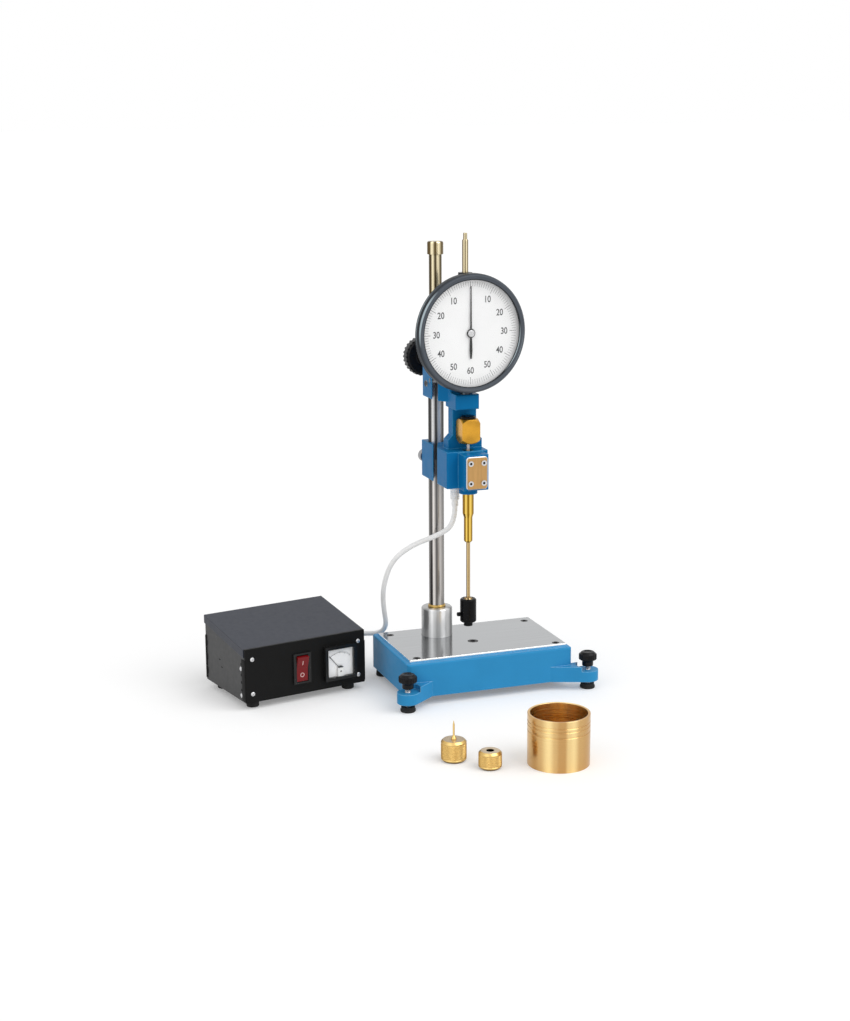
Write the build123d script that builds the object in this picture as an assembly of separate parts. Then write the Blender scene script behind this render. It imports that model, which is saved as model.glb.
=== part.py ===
from build123d import *
import math
import os

# Fits between pieces, in millimetres
FIT = 0.05
GLIDE = 0.3

# Base casting and its feet; the bench is z = 0 here and the plate's centre is x = y = 0
FOOT_H = 9.0
BASE_W = 179.0
BASE_D = 117.5
BASE_H = 35.0
BASE_SHIFT_Y = 1.25
BASE_WALL = 7.0
BASE_ROOF = 9.0
BASE_CORNER_R = 4.0
BASE_EDGE_R = 1.5
REAR_FOOT_R = 7.0
REAR_FOOT_MARGIN = 0.5
FOOT_BOSS_WALL = 1.0

# Levelling lugs and screws
LEFT_LUG_OUT = 3.5
LEFT_KNOB_CLEAR = 0.2
RIGHT_LUG_OUT = 16.0
RIGHT_LUG_FORWARD = 3.5
LUG_END_R = 11.0
LUG_T = 11.0
LUG_WEB_RISE = 5.0
LUG_WEB_GAP = 1.5
LUG_ROOT_W = 25.0
LUG_ROOT_INSET = 2.5
LEVEL_STUD_R = 3.0
LEVEL_FOOT_R = 7.8
LEVEL_FOOT_H = 5.5
LEVEL_FOOT_FLOOR = 2.5
LEVEL_KNOB_R = 9.3
LEVEL_KNOB_H = 15.0
LEVEL_KNOB_LIFT = 4.0
LEVEL_KNOB_SOCKET = 9.0
LEVEL_KNOB_EDGE = 1.8
LEVEL_HUB_R = 5.8
LEVEL_HUB_H = 5.0

# Sample plate and its screws
PLATE_MARGIN_X = 4.25
PLATE_MARGIN_Y = 7.5
PLATE_T = 3.0
PLATE_SCREW_INSET = 9.25
PLATE_SCREW_REAR_INSET = 11.75
PLATE_SCREW_FRONT_INSET = 5.75
PLATE_SCREW_R = 2.0
PLATE_SCREW_HEAD_R = 4.0
PLATE_SCREW_L = 9.0
CENTRE_SCREW_X = -2.0
CENTRE_SCREW_Y = -10.0
CENTRE_SCREW_R = 3.0
CENTRE_SCREW_HEAD_R = 5.6
SOCKET_SHARE = 0.5
SOCKET_DEPTH = 1.5

# Column
COLUMN_X = -28.0
COLUMN_Y = 28.0
COLUMN_R = 8.0
COLUMN_TOP_STEP = 1.5
COLUMN_STEP = 352.0
COLUMN_L = 405.0
COLLAR_R = 16.2
COLLAR_H = 30.0
COLLAR_EDGE = 1.0
BUSH_WALL = 1.2
BUSH_H = 3.0
CAP_WALL = 1.7
CAP_H = 13.0
CAP_SOCKET = 8.0
CAP_EDGE = 1.6

# Plunger axis and head casting
PLUNGER_X = -14.0
PLUNGER_Y = -28.0
ARM_HALF = 11.0
ARM_RIGHT = 18.8
GUIDE_FRONT = 7.0
LOWER_ARM_LIFT = 169.0
LOWER_ARM_H = 37.0
LOWER_BOSS_BACK = 14.0
DISC_GAP = 7.2
UPPER_ARM_H = 52.0
UPPER_BOSS_BACK = 10.0
ARM_EDGE_R = 1.5
FRONT_BLOCK_W = 26.0
FRONT_BLOCK_D = 17.0
FRONT_BLOCK_DROP = 1.0
NECK_W = 25.4
NECK_D = 12.2
NECK_FOOT_H = 9.0
NECK_FOOT_SLOPE = 5.0
NECK_CLEAR = 1.15
STEM_BLOCK_W = 24.8
STEM_BLOCK_FRONT = 7.0
STEM_BLOCK_DROP = 5.0
STEM_BLOCK_H = 15.0
ARM_SHOULDER = 25.0
ARM_TAPER = 5.0
CASE_CLEAR = 4.6
BOTTOM_BOSS_R = 9.4
BOTTOM_BOSS_H = 7.0
SLIT_ANGLE = 21.4
LOWER_SLIT_W = 4.2
UPPER_SLIT_W = 6.0
PINCH_SCREW_R = 2.8
PINCH_SCREW_REACH = 14.0
PINCH_SCREW_L = 13.0
PINCH_SCREW_LIFT = 18.0
REAR_SCREW_OFFSET = -5.5
REAR_SCREW_LIFT = 19.0
REAR_SCREW_R = 2.5
REAR_SCREW_HEAD_R = 6.6
REAR_SCREW_HEAD_H = 10.0
REAR_SCREW_HEAD_EDGE = 2.4
REAR_SCREW_L = 5.0
SET_SCREW_R = 3.2
SET_SCREW_L = 2.0
SET_SCREW_BACK = -3.0
SET_SCREW_LIFT = 14.0

# Lock knob behind the upper arm
LOCK_LIFT = 36.0
LOCK_BOSS_R = 9.0
LOCK_BOSS_L = 8.0
LOCK_STUD_R = 4.0
LOCK_KNOB_R = 20.5
LOCK_KNOB_T = 14.0
LOCK_KNOB_EDGE = 2.0
LOCK_HUB_R = 9.0
LOCK_HUB_L = 9.0
LOCK_KNOB_GAP = 5.0
LOCK_KNOB_SOCKET = 9.0

# Plunger, its guide and the needle holder
GUIDE_R = 5.7
GUIDE_NOSE_R = 4.35
GUIDE_DROP = 28.0
GUIDE_TAPER = 4.0
GUIDE_NOSE_L = 26.0
GUIDE_NOSE_EDGE = 1.6
TAIL_R = 2.0
ROD_R = 1.5
ROD_JOIN_DROP = 12.0
ROD_SOCKET = 8.0
PLUNGER_SQUARE = 18.9
PLUNGER_HEAD_H = 24.4
PLUNGER_HEAD_LIFT = 7.6
PLUNGER_CHAMFER = 4.0
PLUNGER_DISC_R = 7.6
PLUNGER_DISC_H = 2.8
HOLDER_DROP = 117.0
HOLDER_R = 8.3
HOLDER_H = 24.5
HOLDER_EDGE = 1.0
HOLDER_SOCKET = 10.0
NOSE_R = 4.5
NOSE_H = 4.2
NEEDLE_SOCKET_R = 1.6
NEEDLE_SOCKET_L = 14.0
THUMB_LIFT = 8.5
THUMB_R = 2.3
THUMB_L = 3.4
THUMB_SHANK_R = 1.2

# Release magnet in the front block, its cover and its brake pin
CAVITY_R = 8.5
CAVITY_L = 15.0
COIL_R = 8.2
COIL_BORE_R = 3.4
COIL_L = 9.5
COIL_SET = 0.5
ARMATURE_R = 3.0
ARMATURE_L = 10.5
ARMATURE_DISC_R = 6.0
ARMATURE_DISC_T = 1.5
BRAKE_PIN_R = 2.5
COVER_MARGIN_X = 1.7
COVER_MARGIN_Z = 1.4
COVER_T = 1.5
COVER_CORNER_R = 3.2
COVER_SCREW_INSET_X = 4.4
COVER_SCREW_INSET_Z = 6.5
COVER_SCREW_R = 1.2
COVER_SCREW_HEAD_R = 2.8
COVER_SCREW_HEAD_H = 1.4
COVER_SCREW_L = 6.0

# Dial gauge, turned a little about its own rod
DIAL_X = -17.0
DIAL_TURN = 6.2
DIAL_STEM_L = 22.7
CASE_R = 54.0
CASE_WALL = 2.0
CASE_BEVEL = 6.0
CASE_FRONT = 10.1
CASE_BACK = 6.0
STEM_R = 5.0
STEM_REACH = 3.0
BEZEL_WALL = 4.5
BEZEL_LIP_IN = 1.7
BEZEL_LIP_T = 1.8
BEZEL_OVERLAP = 2.1
BEZEL_EDGE = 2.4
CRYSTAL_T = 1.5
FACE_T = 1.0
DIAL_ROD_R = 3.0
DIAL_ROD_RISE = 32.0
DIAL_TIP_R = 2.0
DIAL_TIP_H = 6.5
TOP_BUSH_R = 7.0
TOP_BUSH_H = 4.5
POINTER_L = 46.3
POINTER_TAIL = 25.0
POINTER_W = 1.6
POINTER_TAIL_W = 2.9
POINTER_WIDEST = 16.0
POINTER_T = 0.6
POINTER_CLEAR = 1.0
POINTER_BOSS_R = 4.4
HUB_R = 3.6
HUB_T = 1.4
HUB_CLEAR = 0.2
ARBOR_R = 1.0
ARBOR_HOLE_R = 1.6
BRIDGE_W = 34.0
BRIDGE_H = 14.0
BRIDGE_T = 3.0
BRIDGE_POST_R = 3.0
BRIDGE_POST_X = 12.0

# Controller box, standing at a slight angle on the bench beside the base
BOX_X = -188.0
BOX_Y = 48.0
BOX_TURN = 11.5
BOX_FOOT_H = 8.0
BOX_FOOT_R = 6.5
BOX_FOOT_INSET = 13.0
BOX_W = 135.0
BOX_D = 95.0
BOX_FRONT_H = 52.5
BOX_RISE = 14.0
BOX_SHEET = 2.0
PANEL_T = 3.0
LID_T = 2.5
PANEL_RIM = 0.6
LID_OVERHANG = 0.9
LID_LIP = 6.0
PANEL_SCREW_R = 2.4
PANEL_SCREW_T = 1.4
PANEL_SCREW_INSET = 7.5
PANEL_SCREW_MARGIN = 8.25
SIDE_SCREW_Y = 10.0
SIDE_SCREW_DROP = 3.0
SIDE_SCREW_PITCH = 28.0
ROCKER_X = -5.0
ROCKER_W = 12.6
ROCKER_H = 27.0
ROCKER_PROUD = 3.0
ROCKER_TILT = 8.0
ROCKER_DISH = 1.6
ROCKER_BACK = 6.0
ROCKER_PIN_R = 0.8
SWITCH_RIM_X = 3.5
SWITCH_RIM_Z = 2.5
SWITCH_PROUD = 2.0
SWITCH_BODY_D = 16.0
SWITCH_WALL = 1.6
METER_INSET = 30.0
METER_W = 36.0
METER_H = 36.0
METER_PROUD = 6.0
METER_WALL = 3.2
METER_CAN_R = 14.0
METER_CAN_L = 20.0
METER_FACE_T = 1.0
METER_GLASS_T = 1.2
METER_PIVOT_DROP = 7.0
METER_HOOD_R = 3.4
METER_NEEDLE_L = 19.0
METER_NEEDLE_T = 0.5
METER_PIVOT_R = 0.8
METER_REST = 40.0
INSTRUMENT_RISE = 0.75
TRANSFORMER_W = 42.0
TRANSFORMER_D = 36.0
TRANSFORMER_H = 36.0
TRANSFORMER_EDGE = 2.0
TRANSFORMER_INSET = 29.5
TRANSFORMER_Y = 5.0
BOARD_W = 52.0
BOARD_D = 44.0
BOARD_T = 1.6
BOARD_INSET = 41.5
BOARD_Y = 14.0
BOARD_POST_H = 6.0
BOARD_POST_R = 2.5
BOARD_POST_INSET = 5.0
INLET_W = 27.0
INLET_H = 20.0
INLET_D = 16.0
INLET_FLANGE = 4.0
INLET_FLANGE_T = 2.0
INLET_WALL = 2.0
INLET_LIFT = 33.0
INLET_INSET = 29.5
GLAND_Y = 20.0
GLAND_LIFT = 30.0
GLAND_R = 5.0
GLAND_L = 10.0
GLAND_EDGE = 1.2
GLAND_SPIGOT_R = 2.5
GLAND_SPIGOT_L = 4.0

# Lead from the head to the controller
LEAD_R = 2.6
RELIEF_X = -22.3
RELIEF_Y = -12.0
RELIEF_R = 4.6
RELIEF_L = 16.0
RELIEF_NOSE_R = 3.4
RELIEF_NOSE_L = 7.0
LEAD_UPPER_BENDS = [(0.0, 0.0, -20.0), (-13.7, 19.0, -35.0), (-34.7, 34.0, -46.0), (-52.7, 45.0, -63.0)]
LEAD_LOWER_BENDS = [(34.5, -40.4, 65.0), (36.5, -30.4, 41.0), (47.5, -13.55, 2.0)]
LEAD_END_RUN = 18.0
LEAD_ARC_SHARE = 0.45

# Loose pieces on the bench in front of the base
CUP_AT = (-9.2, -249.5)
CUP_R = 29.0
CUP_H = 48.7
CUP_WALL = 2.4
CUP_FLOOR = 3.0
CUP_GROOVE_DEPTH = 0.5
CUP_GROOVE_W = 1.2
CUP_GROOVES = (6.0, 9.5, 15.0)
LARGE_WEIGHT_AT = (-97.5, -210.5)
LARGE_WEIGHT_R = 12.0
LARGE_WEIGHT_H = 20.6
SMALL_WEIGHT_AT = (-73.0, -240.0)
SMALL_WEIGHT_R = 10.9
SMALL_WEIGHT_H = 16.8
SMALL_WEIGHT_BORE_R = 3.6
WEIGHT_EDGE = 2.0
NEEDLE_R = 0.9
NEEDLE_L = 18.0
NEEDLE_POINT = 4.0
NEEDLE_TIP_R = 0.2
NEEDLE_SEAT = 8.0
FERRULE_R = 2.6
FERRULE_H = 3.5

# Levels and places that follow from the sizes above
BASE_TOP = FOOT_H + BASE_H
PLATE_TOP = BASE_TOP + PLATE_T
BASE_FRONT = BASE_SHIFT_Y - BASE_D / 2
BASE_BACK = BASE_SHIFT_Y + BASE_D / 2
REAR_FOOT_INSET = REAR_FOOT_R + FOOT_BOSS_WALL + REAR_FOOT_MARGIN
LEFT_FOOT = (-BASE_W / 2 - LEFT_LUG_OUT, BASE_FRONT - LEVEL_KNOB_R - LEFT_KNOB_CLEAR)
RIGHT_FOOT = (BASE_W / 2 + RIGHT_LUG_OUT, BASE_FRONT - RIGHT_LUG_FORWARD)
PLATE_W = BASE_W - 2 * PLATE_MARGIN_X
PLATE_D = BASE_D - 2 * PLATE_MARGIN_Y
PLATE_SCREW_X = PLATE_W / 2 - PLATE_SCREW_INSET
PLATE_SCREW_REAR = PLATE_D / 2 - PLATE_SCREW_REAR_INSET
PLATE_SCREW_FRONT = PLATE_D / 2 - PLATE_SCREW_FRONT_INSET
COLUMN_TOP_R = COLUMN_R - COLUMN_TOP_STEP
COLUMN_FOOT = BASE_TOP - BASE_ROOF
COLUMN_END = PLATE_TOP + COLUMN_L
BUSH_R = COLUMN_R + BUSH_WALL
CAP_R = COLUMN_TOP_R + CAP_WALL
LOWER_Z0 = PLATE_TOP + LOWER_ARM_LIFT
LOWER_Z1 = LOWER_Z0 + LOWER_ARM_H
HEAD_Z0 = LOWER_Z1 + PLUNGER_HEAD_LIFT
HEAD_Z1 = HEAD_Z0 + PLUNGER_HEAD_H
DISC_Z1 = HEAD_Z1 + PLUNGER_DISC_H
STEM_Z0 = DISC_Z1 + DISC_GAP
STEM_Z1 = STEM_Z0 + STEM_BLOCK_H
UPPER_Z0 = STEM_Z0 + STEM_BLOCK_DROP
UPPER_Z1 = UPPER_Z0 + UPPER_ARM_H
ARM_LEFT_X = COLUMN_X - ARM_HALF
BOSS_RIGHT_X = COLUMN_X + ARM_HALF
LOWER_FRONT = PLUNGER_Y - GUIDE_FRONT
BLOCK_FRONT = LOWER_FRONT - FRONT_BLOCK_D
BLOCK_H = LOWER_ARM_H - FRONT_BLOCK_DROP
NECK_FRONT = PLUNGER_Y + PLUNGER_SQUARE / 2 + NECK_CLEAR
NECK_BACK = NECK_FRONT + NECK_D
LOWER_REAR = COLUMN_Y + LOWER_BOSS_BACK
UPPER_REAR = COLUMN_Y + UPPER_BOSS_BACK
UPPER_FRONT = PLUNGER_Y + CASE_BACK + CASE_CLEAR
LOCK_Z = UPPER_Z0 + LOCK_LIFT
MAGNET_Z = LOWER_Z0 + BLOCK_H / 2
COVER_W = FRONT_BLOCK_W - 2 * COVER_MARGIN_X
COVER_H = BLOCK_H - 2 * COVER_MARGIN_Z
COVER_SCREW_X = COVER_W / 2 - COVER_SCREW_INSET_X
COVER_SCREW_Z = COVER_H / 2 - COVER_SCREW_INSET_Z
HOLDER_Z1 = LOWER_Z0 - HOLDER_DROP
HOLDER_Z0 = HOLDER_Z1 - HOLDER_H
NOSE_Z0 = HOLDER_Z0 - NOSE_H
ROD_JOIN = LOWER_Z0 - ROD_JOIN_DROP
DIAL_Z = STEM_Z0 + DIAL_STEM_L + CASE_R
BEZEL_SKIRT_R = CASE_R + GLIDE
BEZEL_R = BEZEL_SKIRT_R + BEZEL_WALL
BEZEL_LIP_R = CASE_R - BEZEL_LIP_IN
CASE_MOUTH = -CASE_FRONT
BEZEL_BACK = CASE_MOUTH + BEZEL_OVERLAP
FACE_BACK = CASE_MOUTH - GLIDE
FACE_FRONT = FACE_BACK - FACE_T
POINTER_BACK = FACE_FRONT - POINTER_CLEAR
HUB_FRONT = POINTER_BACK - POINTER_T - HUB_T
CRYSTAL_BACK = HUB_FRONT - HUB_CLEAR
CRYSTAL_FRONT = CRYSTAL_BACK - CRYSTAL_T
BEZEL_FRONT = CRYSTAL_FRONT - BEZEL_LIP_T
BOX_FRONT = -BOX_D / 2
PANEL_MID_Z = BOX_FOOT_H + BOX_FRONT_H / 2 + INSTRUMENT_RISE
PANEL_SCREW_X = BOX_W / 2 - PANEL_SCREW_INSET
PANEL_SCREW_Z = BOX_FRONT_H / 2 - PANEL_SCREW_MARGIN
METER_X = BOX_W / 2 - METER_INSET
SWITCH_W = ROCKER_W + 2 * SWITCH_RIM_X
SWITCH_H = ROCKER_H + 2 * SWITCH_RIM_Z
TRANSFORMER_X = TRANSFORMER_INSET - BOX_W / 2
BOARD_X = BOX_W / 2 - BOARD_INSET
INLET_X = INLET_INSET - BOX_W / 2
RELIEF_END = LOWER_Z0 - RELIEF_L - RELIEF_NOSE_L

DIAL_FRAME = Pos(DIAL_X, PLUNGER_Y, 0) * Rot(Z=DIAL_TURN)
BOX_FRAME = Pos(BOX_X, BOX_Y, 0) * Rot(Z=BOX_TURN)
SLIT_FRAME = Pos(COLUMN_X, COLUMN_Y, 0) * Rot(Z=-SLIT_ANGLE)


def block(x0, x1, y0, y1, z0, z1):
    """Box between two corners."""
    return Pos((x0 + x1) / 2, (y0 + y1) / 2, (z0 + z1) / 2) * Box(x1 - x0, y1 - y0, z1 - z0)


def post(x, y, z0, z1, r):
    """Upright cylinder."""
    return Pos(x, y, (z0 + z1) / 2) * Cylinder(r, z1 - z0)


def bar_y(x, z, y0, y1, r):
    """Cylinder along Y."""
    return Pos(x, (y0 + y1) / 2, z) * Rot(X=90) * Cylinder(r, y1 - y0)


def bar_x(y, z, x0, x1, r):
    """Cylinder along X."""
    return Pos((x0 + x1) / 2, y, z) * Rot(Y=90) * Cylinder(r, x1 - x0)


def turned(profile):
    """Solid of revolution about Z from (radius, height) points."""
    outline = Polyline([(r, 0, z) for r, z in profile], close=True)
    return revolve(make_face(outline), Axis.Z)


def prism(points, z0, z1):
    """Upright prism over a plan outline."""
    outline = make_face(Polyline([(x, y, z0) for x, y in points], close=True))
    return extrude(outline, z1 - z0, dir=(0, 0, 1))


def side_prism(points, x0, x1):
    """Prism along X over an outline of (y, z) points."""
    outline = make_face(Polyline([(x0, y, z) for y, z in points], close=True))
    return extrude(outline, x1 - x0, dir=(1, 0, 0))


def front_prism(points, y0, y1):
    """Prism along Y over an outline of (x, z) points."""
    outline = make_face(Polyline([(x, y0, z) for x, z in points], close=True))
    return extrude(outline, y1 - y0, dir=(0, 1, 0))


def save(name, *solids):
    """Write one piece or a set of like pieces, with the middle of the plate's top as the origin."""
    placed = [Pos(0, 0, -PLATE_TOP) * solid for solid in solids]
    shape = placed[0] if len(placed) == 1 else Compound(children=placed)
    shape.label = name
    export_step(shape, os.path.join("parts", name + ".step"))


def countersunk(x, y, top, head_r, shank_r, length):
    """Countersunk screw with a hexagon socket, its head flush with a face."""
    head_h = head_r - shank_r
    profile = [(0, 0), (head_r, 0), (shank_r, -head_h), (shank_r, -length), (0, -length)]
    socket = Pos(0, 0, -SOCKET_DEPTH) * extrude(RegularPolygon(head_r * SOCKET_SHARE, 6), SOCKET_DEPTH)
    return Pos(x, y, top) * (turned(profile) - socket)


def countersink(x, y, top, head_r, shank_r, length):
    """Hole for such a screw, a fit larger all round."""
    head_h = head_r - shank_r
    wide = head_r + FIT
    narrow = shank_r + FIT
    profile = [(0, FIT), (wide + FIT, FIT), (narrow, -head_h), (narrow, -length - FIT), (0, -length - FIT)]
    return Pos(x, y, top) * turned(profile)


def plate_screw_places():
    """Centre and radii of each screw in the sample plate."""
    places = []
    for x in (-PLATE_SCREW_X, PLATE_SCREW_X):
        for y in (-PLATE_SCREW_FRONT, PLATE_SCREW_REAR):
            places.append((x, y, PLATE_TOP, PLATE_SCREW_HEAD_R, PLATE_SCREW_R, PLATE_SCREW_L))
    centre = (CENTRE_SCREW_X, CENTRE_SCREW_Y, PLATE_TOP, CENTRE_SCREW_HEAD_R, CENTRE_SCREW_R, PLATE_SCREW_L)
    return places + [centre]


def rear_foot_places():
    """Centres of the two fixed rubber feet."""
    y = BASE_BACK - REAR_FOOT_INSET
    reach = BASE_W / 2 - REAR_FOOT_INSET
    return [(-reach, y), (reach, y)]


def levelling_lug(foot):
    """Tapered arm from the base's front face to a levelling screw."""
    side = math.copysign(1, foot[0])
    outer = side * (BASE_W / 2 - LUG_ROOT_INSET)
    inner = outer - side * LUG_ROOT_W
    root = Pos((outer + inner) / 2, BASE_FRONT + LUG_ROOT_INSET) * Rectangle(LUG_ROOT_W, LUG_ROOT_INSET)
    end = Pos(*foot) * Circle(LUG_END_R)
    plan = make_hull(root.edges() + end.edges())
    arm = Pos(0, 0, FOOT_H) * extrude(plan, LUG_T)
    web = Pos(0, 0, FOOT_H) * extrude(plan, LUG_T + LUG_WEB_RISE)
    arm += web - post(foot[0], foot[1], 0, BASE_TOP, LUG_END_R + LUG_WEB_GAP)
    return arm - post(foot[0], foot[1], 0, BASE_TOP, LEVEL_STUD_R + FIT)


def base_casting():
    """Hollow casting, open below, with the levelling lugs in front."""
    body = Pos(0, BASE_SHIFT_Y, FOOT_H + BASE_H / 2) * Box(BASE_W, BASE_D, BASE_H)
    body = fillet(body.edges().filter_by(Axis.Z), BASE_CORNER_R)
    body = fillet(body.faces().sort_by(Axis.Z)[-1].edges(), BASE_EDGE_R)
    pocket_h = BASE_H - BASE_ROOF
    body -= Pos(0, BASE_SHIFT_Y, FOOT_H + pocket_h / 2) * Box(
        BASE_W - 2 * BASE_WALL, BASE_D - 2 * BASE_WALL, pocket_h)
    for x, y in rear_foot_places():
        body += post(x, y, FOOT_H, COLUMN_FOOT + BASE_ROOF / 2, REAR_FOOT_R + FOOT_BOSS_WALL)
    for foot in (LEFT_FOOT, RIGHT_FOOT):
        body += levelling_lug(foot)
    body -= post(COLUMN_X, COLUMN_Y, FOOT_H, BASE_TOP, COLUMN_R + FIT)
    for place in plate_screw_places():
        body -= countersink(*place)
    return body


def sample_plate():
    """Flat steel plate on the casting, cut out around the column's collar."""
    body = block(-PLATE_W / 2, PLATE_W / 2, -PLATE_D / 2, PLATE_D / 2, BASE_TOP, PLATE_TOP)
    body -= post(COLUMN_X, COLUMN_Y, BASE_TOP, PLATE_TOP, COLLAR_R + FIT)
    for place in plate_screw_places():
        body -= countersink(*place)
    return body


def make_base():
    """Everything that the stand is made of below the column's collar."""
    save("base_casting", base_casting())
    save("sample_plate", sample_plate())
    save("plate_screws", *[countersunk(*place) for place in plate_screw_places()])
    save("rear_feet", *[post(x, y, 0, FOOT_H, REAR_FOOT_R) for x, y in rear_foot_places()])


def make_levelling(side, foot):
    """Knob, threaded stud and pad of one levelling screw."""
    x, y = foot
    knob_z0 = FOOT_H + LUG_T + LEVEL_KNOB_LIFT
    knob_z1 = knob_z0 + LEVEL_KNOB_H
    stud_top = knob_z0 + LEVEL_KNOB_SOCKET
    hub_top = knob_z0 + LEVEL_HUB_H
    knob = Pos(x, y, 0) * turned([
        (0, knob_z0), (LEVEL_HUB_R, knob_z0), (LEVEL_HUB_R, hub_top),
        (LEVEL_KNOB_R, hub_top + LEVEL_KNOB_EDGE), (LEVEL_KNOB_R, knob_z1 - LEVEL_KNOB_EDGE),
        (LEVEL_KNOB_R - LEVEL_KNOB_EDGE, knob_z1), (0, knob_z1)])
    knob -= post(x, y, knob_z0, stud_top, LEVEL_STUD_R + FIT)
    pad = post(x, y, 0, LEVEL_FOOT_H, LEVEL_FOOT_R)
    pad -= post(x, y, LEVEL_FOOT_FLOOR, LEVEL_FOOT_H, LEVEL_STUD_R + FIT)
    save("level_knob_" + side, knob)
    save("level_stud_" + side, post(x, y, LEVEL_FOOT_FLOOR + FIT, stud_top, LEVEL_STUD_R))
    save("level_foot_" + side, pad)


def make_column():
    """Polished column with its collar, bush and cap."""
    step = PLATE_TOP + COLUMN_STEP
    column = post(COLUMN_X, COLUMN_Y, COLUMN_FOOT, step, COLUMN_R)
    column += post(COLUMN_X, COLUMN_Y, step, COLUMN_END, COLUMN_TOP_R)
    place = Pos(COLUMN_X, COLUMN_Y, 0)
    collar_top = PLATE_TOP + COLLAR_H
    collar = post(COLUMN_X, COLUMN_Y, BASE_TOP, collar_top, COLLAR_R)
    collar = chamfer(collar.faces().sort_by(Axis.Z)[-1].edges(), COLLAR_EDGE)
    collar -= post(COLUMN_X, COLUMN_Y, BASE_TOP, collar_top, COLUMN_R + FIT)
    bush = place * turned([
        (COLUMN_R + FIT, collar_top), (BUSH_R, collar_top),
        (BUSH_R, collar_top + BUSH_H / 2), (COLUMN_R + FIT, collar_top + BUSH_H)])
    cap_z0 = COLUMN_END - CAP_SOCKET
    cap = post(COLUMN_X, COLUMN_Y, cap_z0, cap_z0 + CAP_H, CAP_R)
    cap = fillet(cap.edges().filter_by(GeomType.CIRCLE), CAP_EDGE)
    cap -= post(COLUMN_X, COLUMN_Y, cap_z0, COLUMN_END, COLUMN_TOP_R + FIT)
    save("column", column)
    save("column_collar", collar)
    save("column_bush", bush)
    save("column_cap", cap)


def lower_arm():
    """Lower clamp arm with the magnet block in front and the guide boss below."""
    right = PLUNGER_X + ARM_RIGHT
    arm = prism([
        (ARM_LEFT_X, LOWER_REAR), (ARM_LEFT_X, LOWER_FRONT), (right, LOWER_FRONT),
        (right, NECK_BACK), (BOSS_RIGHT_X, COLUMN_Y - ARM_HALF), (BOSS_RIGHT_X, LOWER_REAR)],
        LOWER_Z0, LOWER_Z1)
    arm = fillet(arm.edges().filter_by(Axis.Z), ARM_EDGE_R)
    half = FRONT_BLOCK_W / 2
    front = block(PLUNGER_X - half, PLUNGER_X + half, BLOCK_FRONT, PLUNGER_Y,
                  LOWER_Z0, LOWER_Z1 - FRONT_BLOCK_DROP)
    front = fillet(front.faces().sort_by(Axis.Y)[0].edges(), ARM_EDGE_R)
    boss = post(PLUNGER_X, PLUNGER_Y, LOWER_Z0 - BOTTOM_BOSS_H, LOWER_Z1 - FRONT_BLOCK_DROP, BOTTOM_BOSS_R)
    return arm + front + boss


def upper_arm():
    """Upper clamp arm with the dial's stem block and the lock boss behind."""
    stem_left = DIAL_X - STEM_BLOCK_W / 2
    stem_right = DIAL_X + STEM_BLOCK_W / 2
    arm = prism([
        (ARM_LEFT_X, UPPER_REAR), (ARM_LEFT_X, COLUMN_Y - ARM_SHOULDER),
        (stem_left, UPPER_FRONT + ARM_TAPER), (stem_left, UPPER_FRONT),
        (stem_right, UPPER_FRONT), (stem_right, NECK_BACK),
        (BOSS_RIGHT_X, COLUMN_Y - ARM_HALF), (BOSS_RIGHT_X, UPPER_REAR)],
        UPPER_Z0, UPPER_Z1)
    arm = fillet(arm.edges().filter_by(Axis.Z), ARM_EDGE_R)
    stem_block = block(stem_left, stem_right, PLUNGER_Y - STEM_BLOCK_FRONT, NECK_BACK, STEM_Z0, STEM_Z1)
    stem_block = fillet(stem_block.faces().sort_by(Axis.Y)[0].edges(), ARM_EDGE_R)
    boss = bar_y(COLUMN_X, LOCK_Z, COLUMN_Y, UPPER_REAR + LOCK_BOSS_L, LOCK_BOSS_R)
    return arm + stem_block + boss


def neck():
    """Upright between the two arms, with its wider foot."""
    left = PLUNGER_X - NECK_W / 2
    right = PLUNGER_X + NECK_W / 2
    foot_top = LOWER_Z1 + NECK_FOOT_H
    upright = block(left, right, NECK_FRONT, NECK_BACK, LOWER_Z0, UPPER_Z0 + ARM_EDGE_R)
    foot = front_prism([
        (left - NECK_FOOT_SLOPE, LOWER_Z0 + ARM_EDGE_R), (PLUNGER_X + ARM_RIGHT, LOWER_Z0 + ARM_EDGE_R),
        (PLUNGER_X + ARM_RIGHT, foot_top), (right, foot_top + NECK_FOOT_SLOPE),
        (left, foot_top + NECK_FOOT_SLOPE), (left - NECK_FOOT_SLOPE, foot_top)],
        NECK_FRONT, NECK_BACK)
    return upright + foot


def slit(width, z0, z1):
    """Clamp slit from the column's bore out through the arm's left face."""
    reach = ARM_HALF / math.sin(math.radians(SLIT_ANGLE)) + 2 * width
    return SLIT_FRAME * block(-width / 2, width / 2, -reach, 0, z0, z1)


def pinch_screw(radius, length):
    """Screw across the upper slit."""
    z = UPPER_Z0 + PINCH_SCREW_LIFT
    return SLIT_FRAME * bar_x(-PINCH_SCREW_REACH, z, -length / 2, length / 2, radius)


def rear_screw(clearance):
    """Cap screw in the back of the lower arm."""
    x = COLUMN_X + REAR_SCREW_OFFSET
    z = LOWER_Z0 + REAR_SCREW_LIFT
    return bar_y(x, z, LOWER_REAR - REAR_SCREW_L - clearance, LOWER_REAR, REAR_SCREW_R + clearance)


def set_screw(clearance):
    """Headless screw in the left face of the upper arm."""
    y = COLUMN_Y + SET_SCREW_BACK
    z = UPPER_Z0 + SET_SCREW_LIFT
    return bar_x(y, z, ARM_LEFT_X, ARM_LEFT_X + SET_SCREW_L + clearance, SET_SCREW_R + clearance)


def cover_screw_places():
    """Centres of the four cover screws on the magnet block."""
    return [(PLUNGER_X + sx * COVER_SCREW_X, MAGNET_Z + sz * COVER_SCREW_Z)
            for sx in (-1, 1) for sz in (-1, 1)]


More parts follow.
